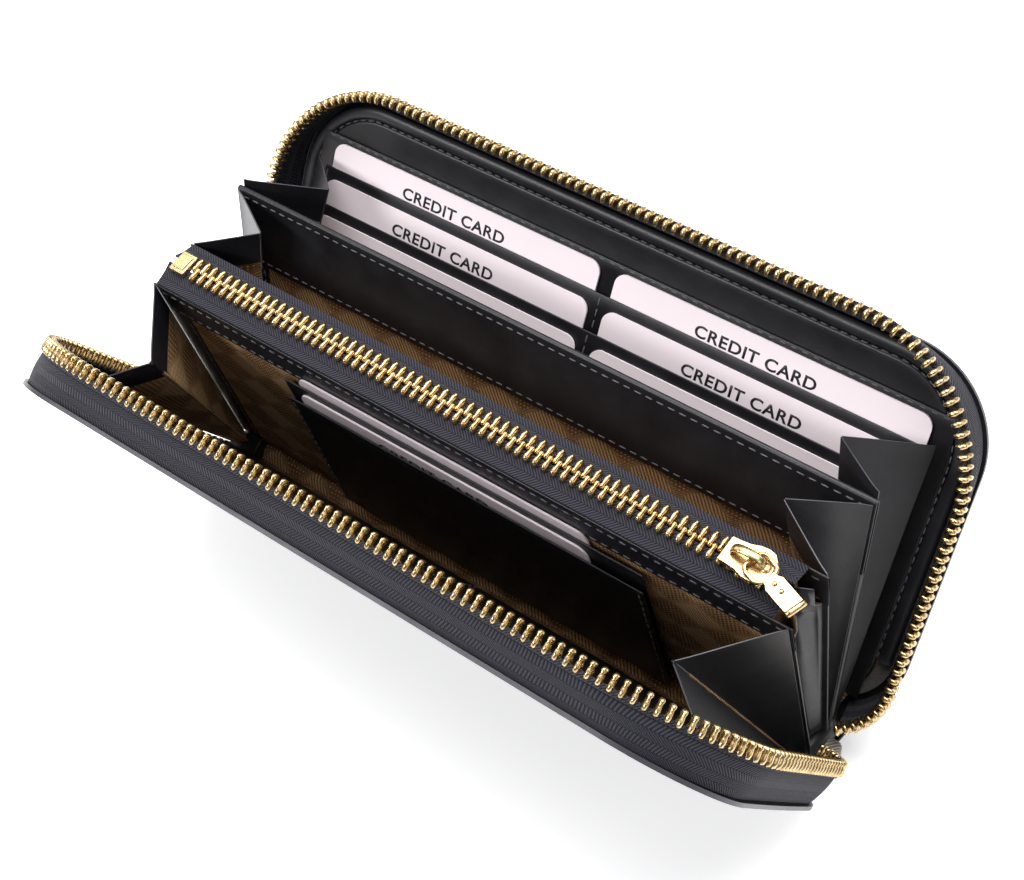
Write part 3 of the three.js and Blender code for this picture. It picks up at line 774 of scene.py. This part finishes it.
def makeBackSlots():
    slots = {"half": 89.6, "tops": (75, 65.2, 55.4), "near": (7.85, 6.5, 5.15), "thick": 0.55}
    makeSlot("backSlotBacking", "backCover", 9.2, 9.75, 9, 83.6, -93, 93, "back_slot_backing", (), 3)
    for n, (row, high, near) in enumerate(zip(("top", "middle", "bottom"), slots["tops"], slots["near"])):
        seams = (0,) if n == 2 else ()
        makeSlot(f"backSlot{row.title()}", "backCover", near, near + slots["thick"], 9 + n * 0.5, high,
                 -slots["half"], slots["half"], f"back_slot_{row}", seams)
        for m, x in enumerate((-88.7, 88.7, 0)):
            low = slots["tops"][n + 1] + 0.6 if n < 2 else 8
            if n == 2 and x == 0:
                continue
            seam = [onLeaf("backCover", x, near - 0.04, z) for z in steps(low, high - 0.7, 8)]
            stitchRow(f"backSlot{row.title()}Side{m}", seam, "back_cover")
    seam = [onLeaf("backCover", x, 9.28, 82.9) for x in steps(-91, 91, 40)]
    stitchRow("backingTopStitches", seam, "back_cover", length=1.6)


makeBackSlots()
makeSlot("frontSlot", "frontCover", -8.55, -9.1, 9, 73, -89.6, 89.6, "front_slot", (0, 88.4, -88.4))
makeSlot("coinSlotRear", "coinFront", -6.5, -6.0, 2, 58.4, -51, 54, "coin_slot_rear", ())
makeSlot("coinSlotFront", "coinFront", -7.8, -7.3, 2, 52.2, -51, 54, "coin_slot_front", (-49.8, 52.8))


# bill divider
def makeSheetLeaf(name, leaf, low, high, look, nodes):
    # jacquard sheet with a folded leather band on top and bound ends
    body = bodyOf[leaf]
    middle, half = (low + high) / 2, look["half"]
    lining = []
    for x in steps(-half + 0.6, half - 0.6, 40):
        lining.append([onLeaf(leaf, x, middle, z) for z in steps(look["bottom"], look["top"] - 0.9, 16)])
    cloth = gridPiece(f"{name}Lining", lining, jacquard)
    thicken(cloth, look["cloth"], 0)
    seated(cloth, body, "jacquard_lining", nodes[0])
    wall, radius = (high - low - look["cloth"]) / 2 - 0.03, (high - low) / 2
    band = [(low, z) for z in steps(look["bandBottom"], look["top"] - radius, 6)]
    band += [(middle + radius * c, look["top"] - radius + radius * s) for c, s in arcOf(180, 0, 8)[1:-1]]
    band += [(high, z) for z in steps(look["top"] - radius, look["bandBottom"], 6)]
    band += [(high - wall, look["bandBottom"]), (high - wall, look["top"] - radius),
             (low + wall, look["top"] - radius), (low + wall, look["bandBottom"])]
    bandPiece = alongX(f"{name}Band", leaf, band, steps(-half, half, 30), [smoothHide])
    roundEdges(bandPiece, 0.12, 2, 60)
    seated(bandPiece, body, "black_leather", *nodes[1:])
    for face, y in (("Front", low - 0.03), ("Back", high + 0.03)):
        for seamName, z in (("Top", look["top"] - 2.2), ("Low", look["bandBottom"] + 1.4)):
            seam = [onLeaf(leaf, x, y, z) for x in steps(-half + 2, half - 2, 60)]
            stitchRow(f"{name}{seamName}Stitches{face}", seam, body, length=1.9)
    for word, sign in (("Right", 1), ("Left", -1)):
        outer, inner = sign * half, sign * (half - look["binding"])
        ring = [(inner, low), (outer - sign * radius, low)]
        bend = outer - sign * radius
        ring += [(bend + sign * radius * c, middle + radius * s) for c, s in arcOf(-90, 90, 6)[1:-1]]
        ring += [(bend, high), (inner, high), (inner, high - wall), (bend, high - wall), (bend, low + wall),
                 (inner, low + wall)]
        heights = steps(look["bottom"], look["bandBottom"] + 0.1, 14)
        rows = [[onLeaf(leaf, x, y, z) for x, y in ring] for z in heights]
        strip = gridPiece(f"{name}Binding{word}", rows, [smoothHide], ring=True, capped=True, flip=sign < 0)
        roundEdges(strip, 0.1, 2, 60)
        seated(strip, body, "black_leather")
        for face, y in (("Front", low - 0.03), ("Back", high + 0.03)):
            heights = steps(look["bottom"] + 1, look["bandBottom"] - 1, 20)
            seam = [onLeaf(leaf, inner + sign * 1.1, y, z) for z in heights]
            stitchRow(f"{name}Binding{word}Stitches{face}", seam, body)


makeSheetLeaf("divider", "divider", 3.2, 4.8,
              {"half": 91.6, "bottom": 1.5, "top": 76, "bandBottom": 54, "binding": 8, "cloth": 0.56},
              ("divider_lining", "divider_band"))
makeSheetLeaf("coinBack", "coinBack", 2.1, 2.7,
              {"half": 91.6, "bottom": 1.5, "top": 69.5, "bandBottom": 58.5, "binding": 8, "cloth": 0.26},
              ("coin_back_wall",))
makeSheetLeaf("coinFront", "coinFront", -5.1, -4.5,
              {"half": 91.6, "bottom": 1.5, "top": 69.5, "bandBottom": 59.5, "binding": 8, "cloth": 0.26},
              ("coin_front_wall",))
print("slots, divider and coin walls made")


# coin zip
coinMiddle, coinTop = -1.2, 71.7


def makeCoinTape(name, wall, side, node):
    tape = {"left": -90.5, "right": 87, "thick": 0.5, "edge": 0.95}
    rows = []
    for x in steps(tape["left"], tape["right"], 60):
        foot = onLeaf(wall, x, coinMiddle + side * 3.55, 69.85)
        edge = onLeaf("coinZip", x, coinMiddle + side * tape["edge"], coinTop)
        row = []
        for t in steps(0, 1, 8):
            sag = 0.35 * math.sin(math.pi * t)
            row.append(foot.lerp(edge, t) - Vector((0, 0, sag / 1000)))
        rows.append(row)
    piece = gridPiece(name, rows, herringbone, flip=side < 0)
    thicken(piece, tape["thick"], 0)
    roundEdges(piece, 0.12, 2)
    footPoint = onLeaf(wall, 0, coinMiddle + side * 3.55, 69.85)
    edgePoint = onLeaf("coinZip", 0, coinMiddle + side * 3.0, coinTop)
    if side > 0:
        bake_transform(piece)
    else:
        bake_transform(piece)
    labelled(piece, "zip_tape", node)


def makeCoinChain(name, side, node):
    teeth = {"from": -82.6, "to": 82, "pitch": 2.5, "openAfter": 76}
    verts, faces = [], []
    x = teeth["from"] + (0 if side > 0 else teeth["pitch"] / 2)
    while x < teeth["to"]:
        def place(depth, off, along, x=x):
            return onLeaf("coinZip", x + along, coinMiddle + side * depth, coinTop + off * 0.9)
        addTooth(verts, faces, place, 0.75 if x < teeth["openAfter"] else 0.1)
        x += teeth["pitch"]
    piece = newPiece(name, verts, faces, gold)
    seated(piece, "coin_zip", "gold_metal", node)


makeCoinTape("coinTapeBack", "coinBack", 1, "coin_tape_back")
makeCoinTape("coinTapeFront", "coinFront", -1, "coin_tape_front")
makeCoinChain("coinTeethBack", 1, "coin_chain_back")
makeCoinChain("coinTeethFront", -1, "coin_chain_front")


# sliders and pulls
def plateFrom(name, outline, low, high, place, bevel=0.25):
    # a flat metal plate from its outline, between two heights
    count = len(outline)
    verts = [place(x, y, low) for x, y in outline] + [place(x, y, high) for x, y in outline]
    faces = [list(range(count))[::-1], list(range(count, 2 * count))]
    faces += [[k, (k + 1) % count, count + (k + 1) % count, count + k] for k in range(count)]
    piece = newPiece(name, verts, faces, gold)
    roundEdges(piece, bevel, 3, 40)
    return piece


def rodAlong(name, line, wide, tall, place, closed=False):
    # a rounded bar along points (x, y, z), its width sideways and its height across the line
    rows = []
    count = len(line)
    for i, point in enumerate(line):
        before = Vector(line[(i - 1) % count] if closed or i else point)
        after = Vector(line[(i + 1) % count] if closed or i < count - 1 else point)
        line3 = (after - before).normalized()
        flat = Vector((0, 0, 1)) if closed else Vector((0, 1, 0))
        other = line3.cross(flat).normalized()
        rows.append([place(*(Vector(point) + flat * (wide / 2 * c) + other * (tall / 2 * s)))
                     for c, s in circle(10, 0.5)])
    if closed:
        rows.append(rows[0])
    return gridPiece(name, rows, gold, ring=True, capped=not closed)


def applied(piece):
    # turns a piece's modifiers into plain mesh
    graph = bpy.context.evaluated_depsgraph_get()
    mesh = bpy.data.meshes.new_from_object(piece.evaluated_get(graph))
    piece.modifiers.clear()
    piece.data = mesh
    return piece


def makeSlider(name, body, node, place, look):
    half, long, broad = look["gap"] / 2, look["length"], look["width"]

    def shield(scale):
        # narrow tail on the closed side, shoulders, and a blunt nose
        side = ((-0.5, 0.36), (-0.32, 0.37), (-0.12, 0.4), (0.05, 0.48), (0.22, 0.5), (0.38, 0.45),
                (0.5, 0.26))
        top = [(long * x, broad * y * scale) for x, y in side]
        return top[::-1] + [(x, -y) for x, y in top]

    parts = [plateFrom("plateTop", shield(1.0), half, half + 0.95, place, 0.3),
             plateFrom("plateLow", shield(0.66), -half - 0.85, -half, place, 0.25)]
    for sign in (1, -1):
        rail = [(x, sign * (broad * y - 0.35), half - 0.25) for x, y in
                ((-long * 0.47, 0.36), (-long * 0.12, 0.4), (long * 0.05, 0.48), (long * 0.24, 0.5))]
        parts.append(rodAlong("rail", rail, 0.7, 1.0, place))
    web = [(-long * 0.12, 0.17), (long * 0.15, 0.17), (long * 0.15, -0.17), (-long * 0.12, -0.17)]
    parts.append(plateFrom("web", web, -half, half, place, 0.05))
    bridge = [(long * 0.33 * c, 0, half + 0.7 + 3.0 * max(s, 0) ** 0.6) for c, s in arcOf(180, 0, 14)]
    parts.append(rodAlong("bridge", bridge, 2.1, 0.9, place))
    dome = [[place(long * 0.36 + radius * c, radius * s, half + 0.9 + height) for c, s in circle(12)]
            for radius, height in ((1.25, 0.0), (1.2, 0.35), (0.85, 0.6), (0.3, 0.72))]
    parts.append(gridPiece("dome", dome, gold, ring=True, capped=True))
    seated(joined(name, [applied(part) for part in parts]), body, "gold_metal", node)


def makePull(name, body, node, place, look):
    ringLong, ringWide = look["ringLength"], look["ringWidth"]
    middle, corner = ringLong / 2 - 0.55, 1.6
    cornerX, cornerY = ringLong / 2 - 0.6 - corner, ringWide / 2 - 0.5 - corner
    loop = []
    for signX, signY, first in ((1, 1, 0), (-1, 1, 90), (-1, -1, 180), (1, -1, 270)):
        loop += [(middle + signX * cornerX + corner * c, signY * cornerY + corner * s, 0)
                 for c, s in arcOf(first, first + 90, 5)]
    parts = [rodAlong("ring", loop, 0.95, 1.0, place, closed=True)]
    near, far = ringLong - 1.6, ringLong - 0.95 + look["plateLength"]
    neck, wide = look["plateWidth"] * 0.36, look["plateWidth"] / 2
    outline = [(near, neck), (near + 1.2, neck), (near + 2.1, wide), (far - 0.5, wide), (far, wide - 0.4)]
    outline = outline[::-1] + [(x, -y) for x, y in outline]
    parts.append(plateFrom("plate", outline, -0.42, 0.42, place, 0.2))
    for at in (near + 2.3, near + 4.4):
        rivet = [[place(at + radius * c, radius * s, height) for c, s in circle(10)]
                 for radius, height in ((0.62, 0.3), (0.6, 0.6), (0.42, 0.78), (0.12, 0.84))]
        parts.append(gridPiece("rivet", rivet, gold, ring=True, capped=True))
    bead = [[place(far - 0.1 + 0.75 * c, y, 0.75 * s) for c, s in circle(10)] for y in steps(-wide, wide, 4)]
    parts.append(gridPiece("bead", bead, gold, ring=True, capped=True))
    seated(joined(name, [applied(part) for part in parts]), body, "gold_metal", node)


def coinPlace(x, y, z):
    return onLeaf("coinZip", 77 + x, coinMiddle + y, coinTop + z)


def coinPullPlace(x, y, z):
    droop, turn = math.radians(5), math.radians(-20)
    x, z = x * math.cos(droop) + z * math.sin(droop), z * math.cos(droop) - x * math.sin(droop)
    x, y = x * math.cos(turn) - y * math.sin(turn), x * math.sin(turn) + y * math.cos(turn)
    return onLeaf("coinZip", 78 + x, coinMiddle + y, 75.3 + z)


def turnedAboutY(angle, x, z):
    return x * math.cos(angle) + z * math.sin(angle), z * math.cos(angle) - x * math.sin(angle)


mainSlider = {"x": -98.5, "z": 3, "turn": 3.81, "pullTurn": 2.56}


def mainPlace(x, y, z):
    x, z = turnedAboutY(mainSlider["turn"], x, z)
    return onLeaf("spine", mainSlider["x"] + x, y, mainSlider["z"] + z)


def mainPullPlace(x, y, z):
    barX, barZ = turnedAboutY(mainSlider["turn"], 1.0, 3.5)
    x, z = turnedAboutY(mainSlider["pullTurn"], x, z)
    return onLeaf("spine", mainSlider["x"] + barX + x, y, mainSlider["z"] + barZ + z)


makeSlider("coinSlider", "coin_slider", "coin_slider", coinPlace, {"length": 11.6, "width": 8.7, "gap": 3.3})
makePull("coinPull", "coin_pull", "coin_pull", coinPullPlace,
         {"ringLength": 6.6, "ringWidth": 6.8, "plateLength": 8.4, "plateWidth": 4.8})
makeSlider("mainSlider", "spine", "main_slider", mainPlace, {"length": 11.0, "width": 9.2, "gap": 3.0})
makePull("mainPull", "main_pull", "main_pull", mainPullPlace,
         {"ringLength": 6, "ringWidth": 6.2, "plateLength": 11, "plateWidth": 4.4})


def makeCoinStop():
    stop = {"left": -88.6, "right": -83.9, "low": 70.6, "high": 73.2}
    low, high = stop["low"] - coinTop, stop["high"] - coinTop

    def place(x, y, z):
        return onLeaf("coinZip", x, coinMiddle + y, coinTop + z)

    def block(left, right, halfWide, bottom, top, name):
        outline = [(left, halfWide), (left, -halfWide), (right, -halfWide), (right, halfWide)]
        return plateFrom(name, outline, bottom, top, place, 0.35)

    parts = [block(stop["left"], stop["right"], 3, low + 0.5, high - 0.35, "stopBody"),
             block(stop["left"] + 0.7, stop["right"] - 0.7, 2.2, high - 0.5, high, "stopFace"),
             block(stop["left"] + 0.4, stop["right"] - 0.4, 2.7, low, low + 0.7, "stopClaw")]
    seated(joined("coinStop", [applied(part) for part in parts]), "coin_zip", "gold_metal", "coin_stop_left")


makeCoinStop()
print("zip hardware made")


# gussets
gusset = {"outer": 91.0, "reach": 14, "thick": 0.36, "band": 8}


def closedAt(x, y, z):
    # a point of the closed wallet, in metres
    return Vector((x, y, z)) / 1000


def gussetFold(z):
    return 2 + gusset["reach"] * (z / 76)


def spanBetween(lineA, lineB, shareA, shareB):
    # start and end of a blend whose share is shareA all along one sewn line and shareB along the other
    points = [Vector((*p, 1.0)) for p in (lineA[0], lineA[-1], lineB[0], lineB[-1])]
    slope = Matrix(points).inverted() @ Vector((shareA, shareA, shareB, shareB))
    tilt = slope.to_3d()
    start = lineA[0] - tilt * (shareA / tilt.length_squared)
    return start, start + tilt / tilt.length_squared


def softPanel(name, leaves, lineA, lineB, shares, finishes, places=None, guide=None, across=8):
    # one side of a folded end; lines are given as they lie in the closed wallet, and the panel
    # stands in a shallow curve between its two leaves
    first, second = leafMatrix(leaves[0]), leafMatrix(leaves[1])

    def stood(closed, share):
        return (first @ closed).lerp(second @ closed, share)

    start, end = spanBetween([stood(c, shares[0]) for c in guide or lineA],
                             [stood(c, shares[1]) for c in lineB], *shares)
    span = end - start

    def settled(closed):
        low, high = shares
        for _ in range(26):
            share = (low + high) / 2
            t = min(max((stood(closed, share) - start).dot(span) / span.length_squared, 0), 1)
            if t * t * (3 - 2 * t) > share:
                low = share
            else:
                high = share
        return stood(closed, (low + high) / 2)

    rows = [[settled(a.lerp(b, t)) for t in steps(0, 1, across)] for a, b in zip(lineA, lineB)]
    piece = gridPiece(name, rows, finishes, places=places)
    tuple(start)
    tuple(end)
    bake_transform(piece)
    return piece


def faceOutward(piece, sign):
    if sum(p.normal.x for p in piece.data.polygons) * sign < 0:
        piece.data.flip_normals()


def gussetPanel(name, leaves, lineA, lineB, shares, sign, nodes, top, guide=None):
    bandRow = [i for i, z in enumerate(top) if z <= top[-1] - gusset["band"]][-1]
    finishes = [smoothHide, jacquard, smoothHide, smoothHide, paintedEdge]
    piece = softPanel(name, leaves, lineA, lineB, shares, finishes,
                      lambda i, j: 2 if i >= bandRow else 0, guide)
    faceOutward(piece, sign)
    thicken(piece, gusset["thick"], -1, 1, 2)
    roundEdges(piece, 0.12, 2)
    labelled(piece, "black_leather", *nodes)


def levelsBetween(table, count):
    # heights and the two sewn depths, filled in between the given levels
    low, high = table[0][0], table[-1][0]
    out = []
    for z in steps(low, high, count):
        for a, b in zip(table, table[1:]):
            if z <= b[0] + 1e-6:
                t = (z - a[0]) / (b[0] - a[0])
                out.append((z, mixed(a[1], b[1], t), mixed(a[2], b[2], t)))
                break
    return out


def makeGussets():
    rear = levelsBetween([(1, 4.6, 5.1), (4, 5.1, 5.1), (63.5, 5.1, 5.1), (70, 6.1, 5.1), (75, 7.4, 5.1),
                          (77.5, 8.1, 5.1)], 30)
    middle = levelsBetween([(1, 2.9, 3.0), (75, 2.9, 3.0)], 28)
    front = steps(1, 74, 28)
    for word, sign in (("Right", 1), ("Left", -1)):
        low, outer = word.lower(), sign * gusset["outer"]

        def creaseX(z, more=0.0):
            return sign * (gusset["outer"] - gussetFold(z) - more)

        for part, leaves, levels, lower in (("Rear", ("backCover", "divider"), rear, 1.0),
                                            ("Middle", ("divider", "coinBack"), middle, 0.93)):
            near = [closedAt(outer, nearY, z) for z, nearY, _ in levels]
            fold = [closedAt(creaseX(z), farY, z) for z, _, farY in levels]
            far = [closedAt(outer, farY, z * lower) for z, _, farY in levels]
            guide = [closedAt(outer, levels[0][2], z) for z, _, _ in levels]
            heights = [level[0] for level in levels]
            gussetPanel(f"gusset{part}{word}", leaves, near, fold, (0, 0.5), sign,
                        [f"gusset_{part.lower()}_{low}"], heights, guide)
            gussetPanel(f"gusset{part}{word}Far", leaves, fold, far, (0.5, 1), sign, [], heights)

        wall = [closedAt(outer, -5.4, z * 0.945) for z in front]
        fold = [closedAt(creaseX(z), -6.6, z) for z in front]
        gussetPanel(f"gussetFront{word}Inner", ("coinFront", "coinFold"), wall, fold, (0, 1), sign,
                    [f"gusset_front_{low}_inner"], front)
        edge = [closedAt(outer, -8.25, z) for z in front]
        fold = [closedAt(creaseX(z), -7.0, z) for z in front]
        gussetPanel(f"gussetFront{word}Outer", ("frontCover", "frontFold"), edge, fold, (0, 1), sign,
                    [f"gusset_front_{low}_outer"], front)
        crease = []
        for z in front:
            centre = onLeaf("coinFold", creaseX(z, 0.32), -6.8, z)
            crease.append([centre + Vector((c, s, 0)) * 0.00042 for c, s in circle(8)])
        ridge = gridPiece(f"gussetFront{word}Crease", crease, [smoothHide, jacquard], ring=True, capped=True,
                          places=lambda i, j: 1 if front[i] < 66 else 0)
        seated(ridge, "coin_fold", "black_leather")


def makeCoinEnds():
    # short folded ends that close the coin pocket, in two halves either side of the zip
    ends = {"outer": 90.2, "reach": 7, "low": 2, "top": 68.4}
    heights = steps(ends["low"], ends["top"], 20)
    for word, sign in (("Right", 1), ("Left", -1)):
        reach = [sign * (ends["outer"] - 1 - ends["reach"] * z / 70) for z in heights]
        fold = [Vector((x, coinMiddle, z)) / 1000 for x, z in zip(reach, heights)]
        for half, leaves, wallY in (("Back", ("coinBack", "coinZip"), 2.15),
                                    ("Front", ("coinZip", "coinFront"), -4.55)):
            edge = [Vector((sign * ends["outer"], wallY, z)) / 1000 for z in heights]
            lines = (edge, fold) if half == "Back" else (fold, edge)
            finishes = [smoothHide, jacquard, paintedEdge]
            piece = softPanel(f"coinEnd{half}{word}", leaves, *lines, (0, 1), finishes, across=6)
            faceOutward(piece, sign)
            thicken(piece, 0.3, -1, 1, 2)
            labelled(piece, "black_leather")


makeGussets()
makeCoinEnds()


# spine
def makeSpine():
    spine = {"half": 88, "flat": 7.0, "thick": 1.2}
    low = -hingeHeight
    section = [(y, low) for y in steps(-spine["flat"] - 0.25, spine["flat"] + 0.25, 8)]
    section += [(y, low + spine["thick"]) for y in steps(spine["flat"] + 0.25, -spine["flat"] - 0.25, 8)]
    leather = alongX("spineLeather", "spine", section, steps(-85.5, 85.5, 20), [smoothHide])
    roundEdges(leather, 0.3, 2, 60)
    seated(leather, "spine", "black_leather", "spine_leather")
    ridge = []
    for y in steps(-6.8, 6.8, 30):
        t = abs(y) / 6.8
        lift = mixed(-1.0, -6.9, t ** 1.3) - 1.1 * math.sin(math.pi * min(t * 2, 2))
        ridge.append((y, max(lift, low + 2.65)))
    rows = [[onLeaf("spine", x, y, z) for y, z in ridge] for x in steps(-87, 87, 40)]
    cloth = gridPiece("spineLining", rows, jacquard)
    thicken(cloth, 0.4, -1)
    seated(cloth, "spine", "jacquard_lining", "spine_lining")


def makeZipEndTab():
    tab = {"left": 88.6, "right": 96, "half": 3.4, "low": -4.6, "high": -1.6}
    middle, tall = (tab["low"] + tab["high"]) / 2, (tab["high"] - tab["low"]) / 2
    rows = []
    for x in steps(tab["left"], tab["right"], 12):
        t = (x - tab["left"]) / (tab["right"] - tab["left"])
        size = math.sqrt(max(1 - max(0, (t - 0.75) / 0.27) ** 2, 0.05))
        ring = []
        for c, s in circle(20):
            y = tab["half"] * math.copysign(abs(c) ** 0.5, c) * size
            z = tall * math.copysign(abs(s) ** 0.7, s) * (0.75 + 0.25 * size)
            ring.append(onLeaf("spine", x, y, middle + z))
        rows.append(ring)
    piece = gridPiece("zipEndTab", rows, greyWebbing, ring=True, capped=True)
    seated(piece, "spine", "zip_tape", "zip_end_tab")


def makeSpineCaps():
    # rounded leather ends of the spine, where the gussets are gathered
    cap = {"inner": 84, "outer": 92.4, "low": -8.3, "side": 9.6, "sideZ": -2.8, "top": 0.5}
    for word, sign in (("Right", 1), ("Left", -1)):
        rows = []
        for t in steps(0, 1, 16):
            x = sign * mixed(cap["inner"], cap["outer"], t)
            size = math.sqrt(max(1 - max(0, (t - 0.6) / 0.42) ** 2, 0.02))
            ring = [(-7, cap["low"]), (0, cap["low"]), (7, cap["low"]), (8.6, -5.4)]
            ring += [(cap["side"] * c, mixed(cap["sideZ"], cap["top"], s)) for c, s in arcOf(0, 180, 12)]
            ring.append((-8.6, -5.4))
            rows.append([onLeaf("spine", x, y * mixed(0.35, 1, size), mixed(-4, z, size)) for y, z in ring])
        piece = gridPiece(f"spineCap{word}", rows, smoothHide, ring=True, capped=True, flip=sign < 0)
        roundEdges(piece, 0.5, 3, 30)
        seated(piece, "spine", "black_leather")


makeSpine()
makeSpineCaps()
makeZipEndTab()
print("gussets and spine made")


# cards: the CAD cards keep their shape, with eased edges and plain generic lettering
lettering = {"words": "CREDIT CARD", "length": 33.0, "capHeight": 3.1, "fromLeft": 24.0, "fromTop": 3.6}


def makeLettering(name, leaf, body, left, top, faceY, facesBack):
    curve = bpy.data.curves.new(name, "FONT")
    curve.body = lettering["words"]
    curve.size, curve.extrude, curve.offset = 0.005, 0.0, 0.00011
    curve.space_character = 1.08
    text = bpy.data.objects.new(name, curve)
    bpy.context.scene.collection.objects.link(text)
    bpy.context.view_layer.update()
    mesh = bpy.data.meshes.new_from_object(text.evaluated_get(bpy.context.evaluated_depsgraph_get()))
    bpy.data.objects.remove(text)
    xs, ys = [v.co.x for v in mesh.vertices], [v.co.y for v in mesh.vertices]
    scaleX = lettering["length"] / 1000 / (max(xs) - min(xs))
    scaleY = lettering["capHeight"] / 1000 / (max(ys) - min(ys))
    lowX, highY = min(xs), max(ys)
    place = leafMatrix(leaf)
    for vertex in mesh.vertices:
        along = (vertex.co.x - lowX) * scaleX + lettering["fromLeft"] / 1000
        if facesBack:
            along = 0.0856 - along
        height = top / 1000 - lettering["fromTop"] / 1000 - (highY - vertex.co.y) * scaleY
        vertex.co = place @ Vector((left / 1000 + along, faceY / 1000, height))
    mesh.materials.clear()
    mesh.materials.append(ink)
    piece = bpy.data.objects.new(name, mesh)
    bpy.context.scene.collection.objects.link(piece)
    thicken(piece, 0.03, 0)
    seated(piece, body, "card_stock")


def finishCard(node):
    shown = frame["nodes"][node]
    for slotPlace in shown.material_slots:
        slotPlace.material = card
    if not shown.material_slots:
        shown.data.materials.append(card)
    roundEdges(shown, 0.12, 2, 50)


columns = {"left": -87.9, "right": 2.3}
for side, left in columns.items():
    for n, row in enumerate(("top", "middle", "bottom")):
        node = f"back_card_{side}_{row}"
        finishCard(node)
        top, face = 82 - 9.8 * n, 8.53 - 1.35 * n
        makeLettering(f"lettering_{node}", "backCover", node, left, top, face, False)
    node = f"front_card_{side}"
    finishCard(node)
    makeLettering(f"lettering_{node}", "frontCover", node, left, 80, -9.23, True)
for node, top, face in (("coin_card_rear", 61.6, -5.87), ("coin_card_front", 56.5, -7.17)):
    finishCard(node)
    makeLettering(f"lettering_{node}", "coinFront", node, -46.5, top, face, False)

for node in ("spine_board", "back_board", "front_board"):
    shown = frame["nodes"][node]
    for slotPlace in shown.material_slots:
        slotPlace.material = greyBoard
    roundEdges(shown, 0.2, 2, 50)
print("cards finished")


# floor, light and camera
def makeStage():
    stage = {"half": 2.5, "colour": (0.86, 0.86, 0.87)}
    fixed = {"Specular IOR Level": 0.2, "Emission Color": grey(1, 1, 1), "Emission Strength": 0.4}
    floorFinish, shader, start = newFinish("paleFloor", fixed)
    raw = start.node("ShaderNodeTexCoord", None, None, 3)
    mottled = start.node("ShaderNodeTexNoise", None, {"Vector": raw, "Scale": 3.0, "Detail": 2.0})
    mottled.between(grey(*stage["colour"]), grey(0.88, 0.88, 0.885)).into(shader.inputs["Base Color"])
    (0.7 + mottled * 0.1).into(shader.inputs["Roughness"])
    rows = [[Vector((x, y, -0.0002)) for x in steps(-stage["half"], stage["half"], 4)]
            for y in steps(-stage["half"], stage["half"], 4)]
    floor = gridPiece("paleFloor", rows, floorFinish, flip=True)
    floor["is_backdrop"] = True


def makeLight(name, place, aim, size, power):
    lamp = bpy.data.lights.new(name, "AREA")
    lamp.shape, lamp.size, lamp.size_y = "RECTANGLE", size[0], size[1]
    lamp.energy = power
    holder = bpy.data.objects.new(name, lamp)
    holder.location = place
    holder.rotation_euler = (Vector(aim) - Vector(place)).to_track_quat("-Z", "Y").to_euler()
    bpy.context.scene.collection.objects.link(holder)


makeStage()
makeLight("softboxAbove", (-0.1, 0.25, 1.3), (0, 0, 0.05), (1.5, 1.1), 34)
makeLight("softboxFront", (-0.62, -1.0, 0.85), (0, 0.03, 0.07), (0.7, 0.28), 13)
makeLight("softboxLeft", (-1.2, 0.1, 0.7), (0, 0, 0.05), (0.8, 0.5), 3)
makeLight("softboxRight", (1.1, -0.35, 1.0), (0, 0, 0.05), (0.7, 0.6), 2.5)
makeLight("softboxBack", (0.3, 1.3, 0.8), (0, 0, 0.08), (1.2, 0.5), 6)

world = bpy.data.worlds.new("paleSurround")
bpy.context.scene.world = world
world.use_nodes = True
world.node_tree.nodes["Background"].inputs["Color"].default_value = (0.95, 0.96, 1.0, 1.0)
world.node_tree.nodes["Background"].inputs["Strength"].default_value = 0.16

camera = bpy.data.cameras.new("viewCamera")
camera.lens, camera.sensor_width, camera.sensor_fit = 63.16, 36, "HORIZONTAL"
camera.shift_x = -0.003
camera.clip_start, camera.clip_end = 0.01, 20
cameraHolder = bpy.data.objects.new("viewCamera", camera)
cameraHolder.matrix_world = Matrix((
    (0.7911465, -0.42076997, 0.44389171, 0.1918),
    (0.60313525, 0.65722958, -0.4519703, -0.1874),
    (-0.10156323, 0.62530146, 0.77374608, 0.3870),
    (0, 0, 0, 1),
))
bpy.context.scene.collection.objects.link(cameraHolder)
bpy.context.scene.camera = cameraHolder
bpy.context.scene.view_settings.view_transform = "Standard"
print("stage, light and camera set")

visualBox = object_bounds()
boxes = {"cad": cadBox, "visual": visualBox}
{name: [list(corner) for corner in box] for name, box in boxes.items()}
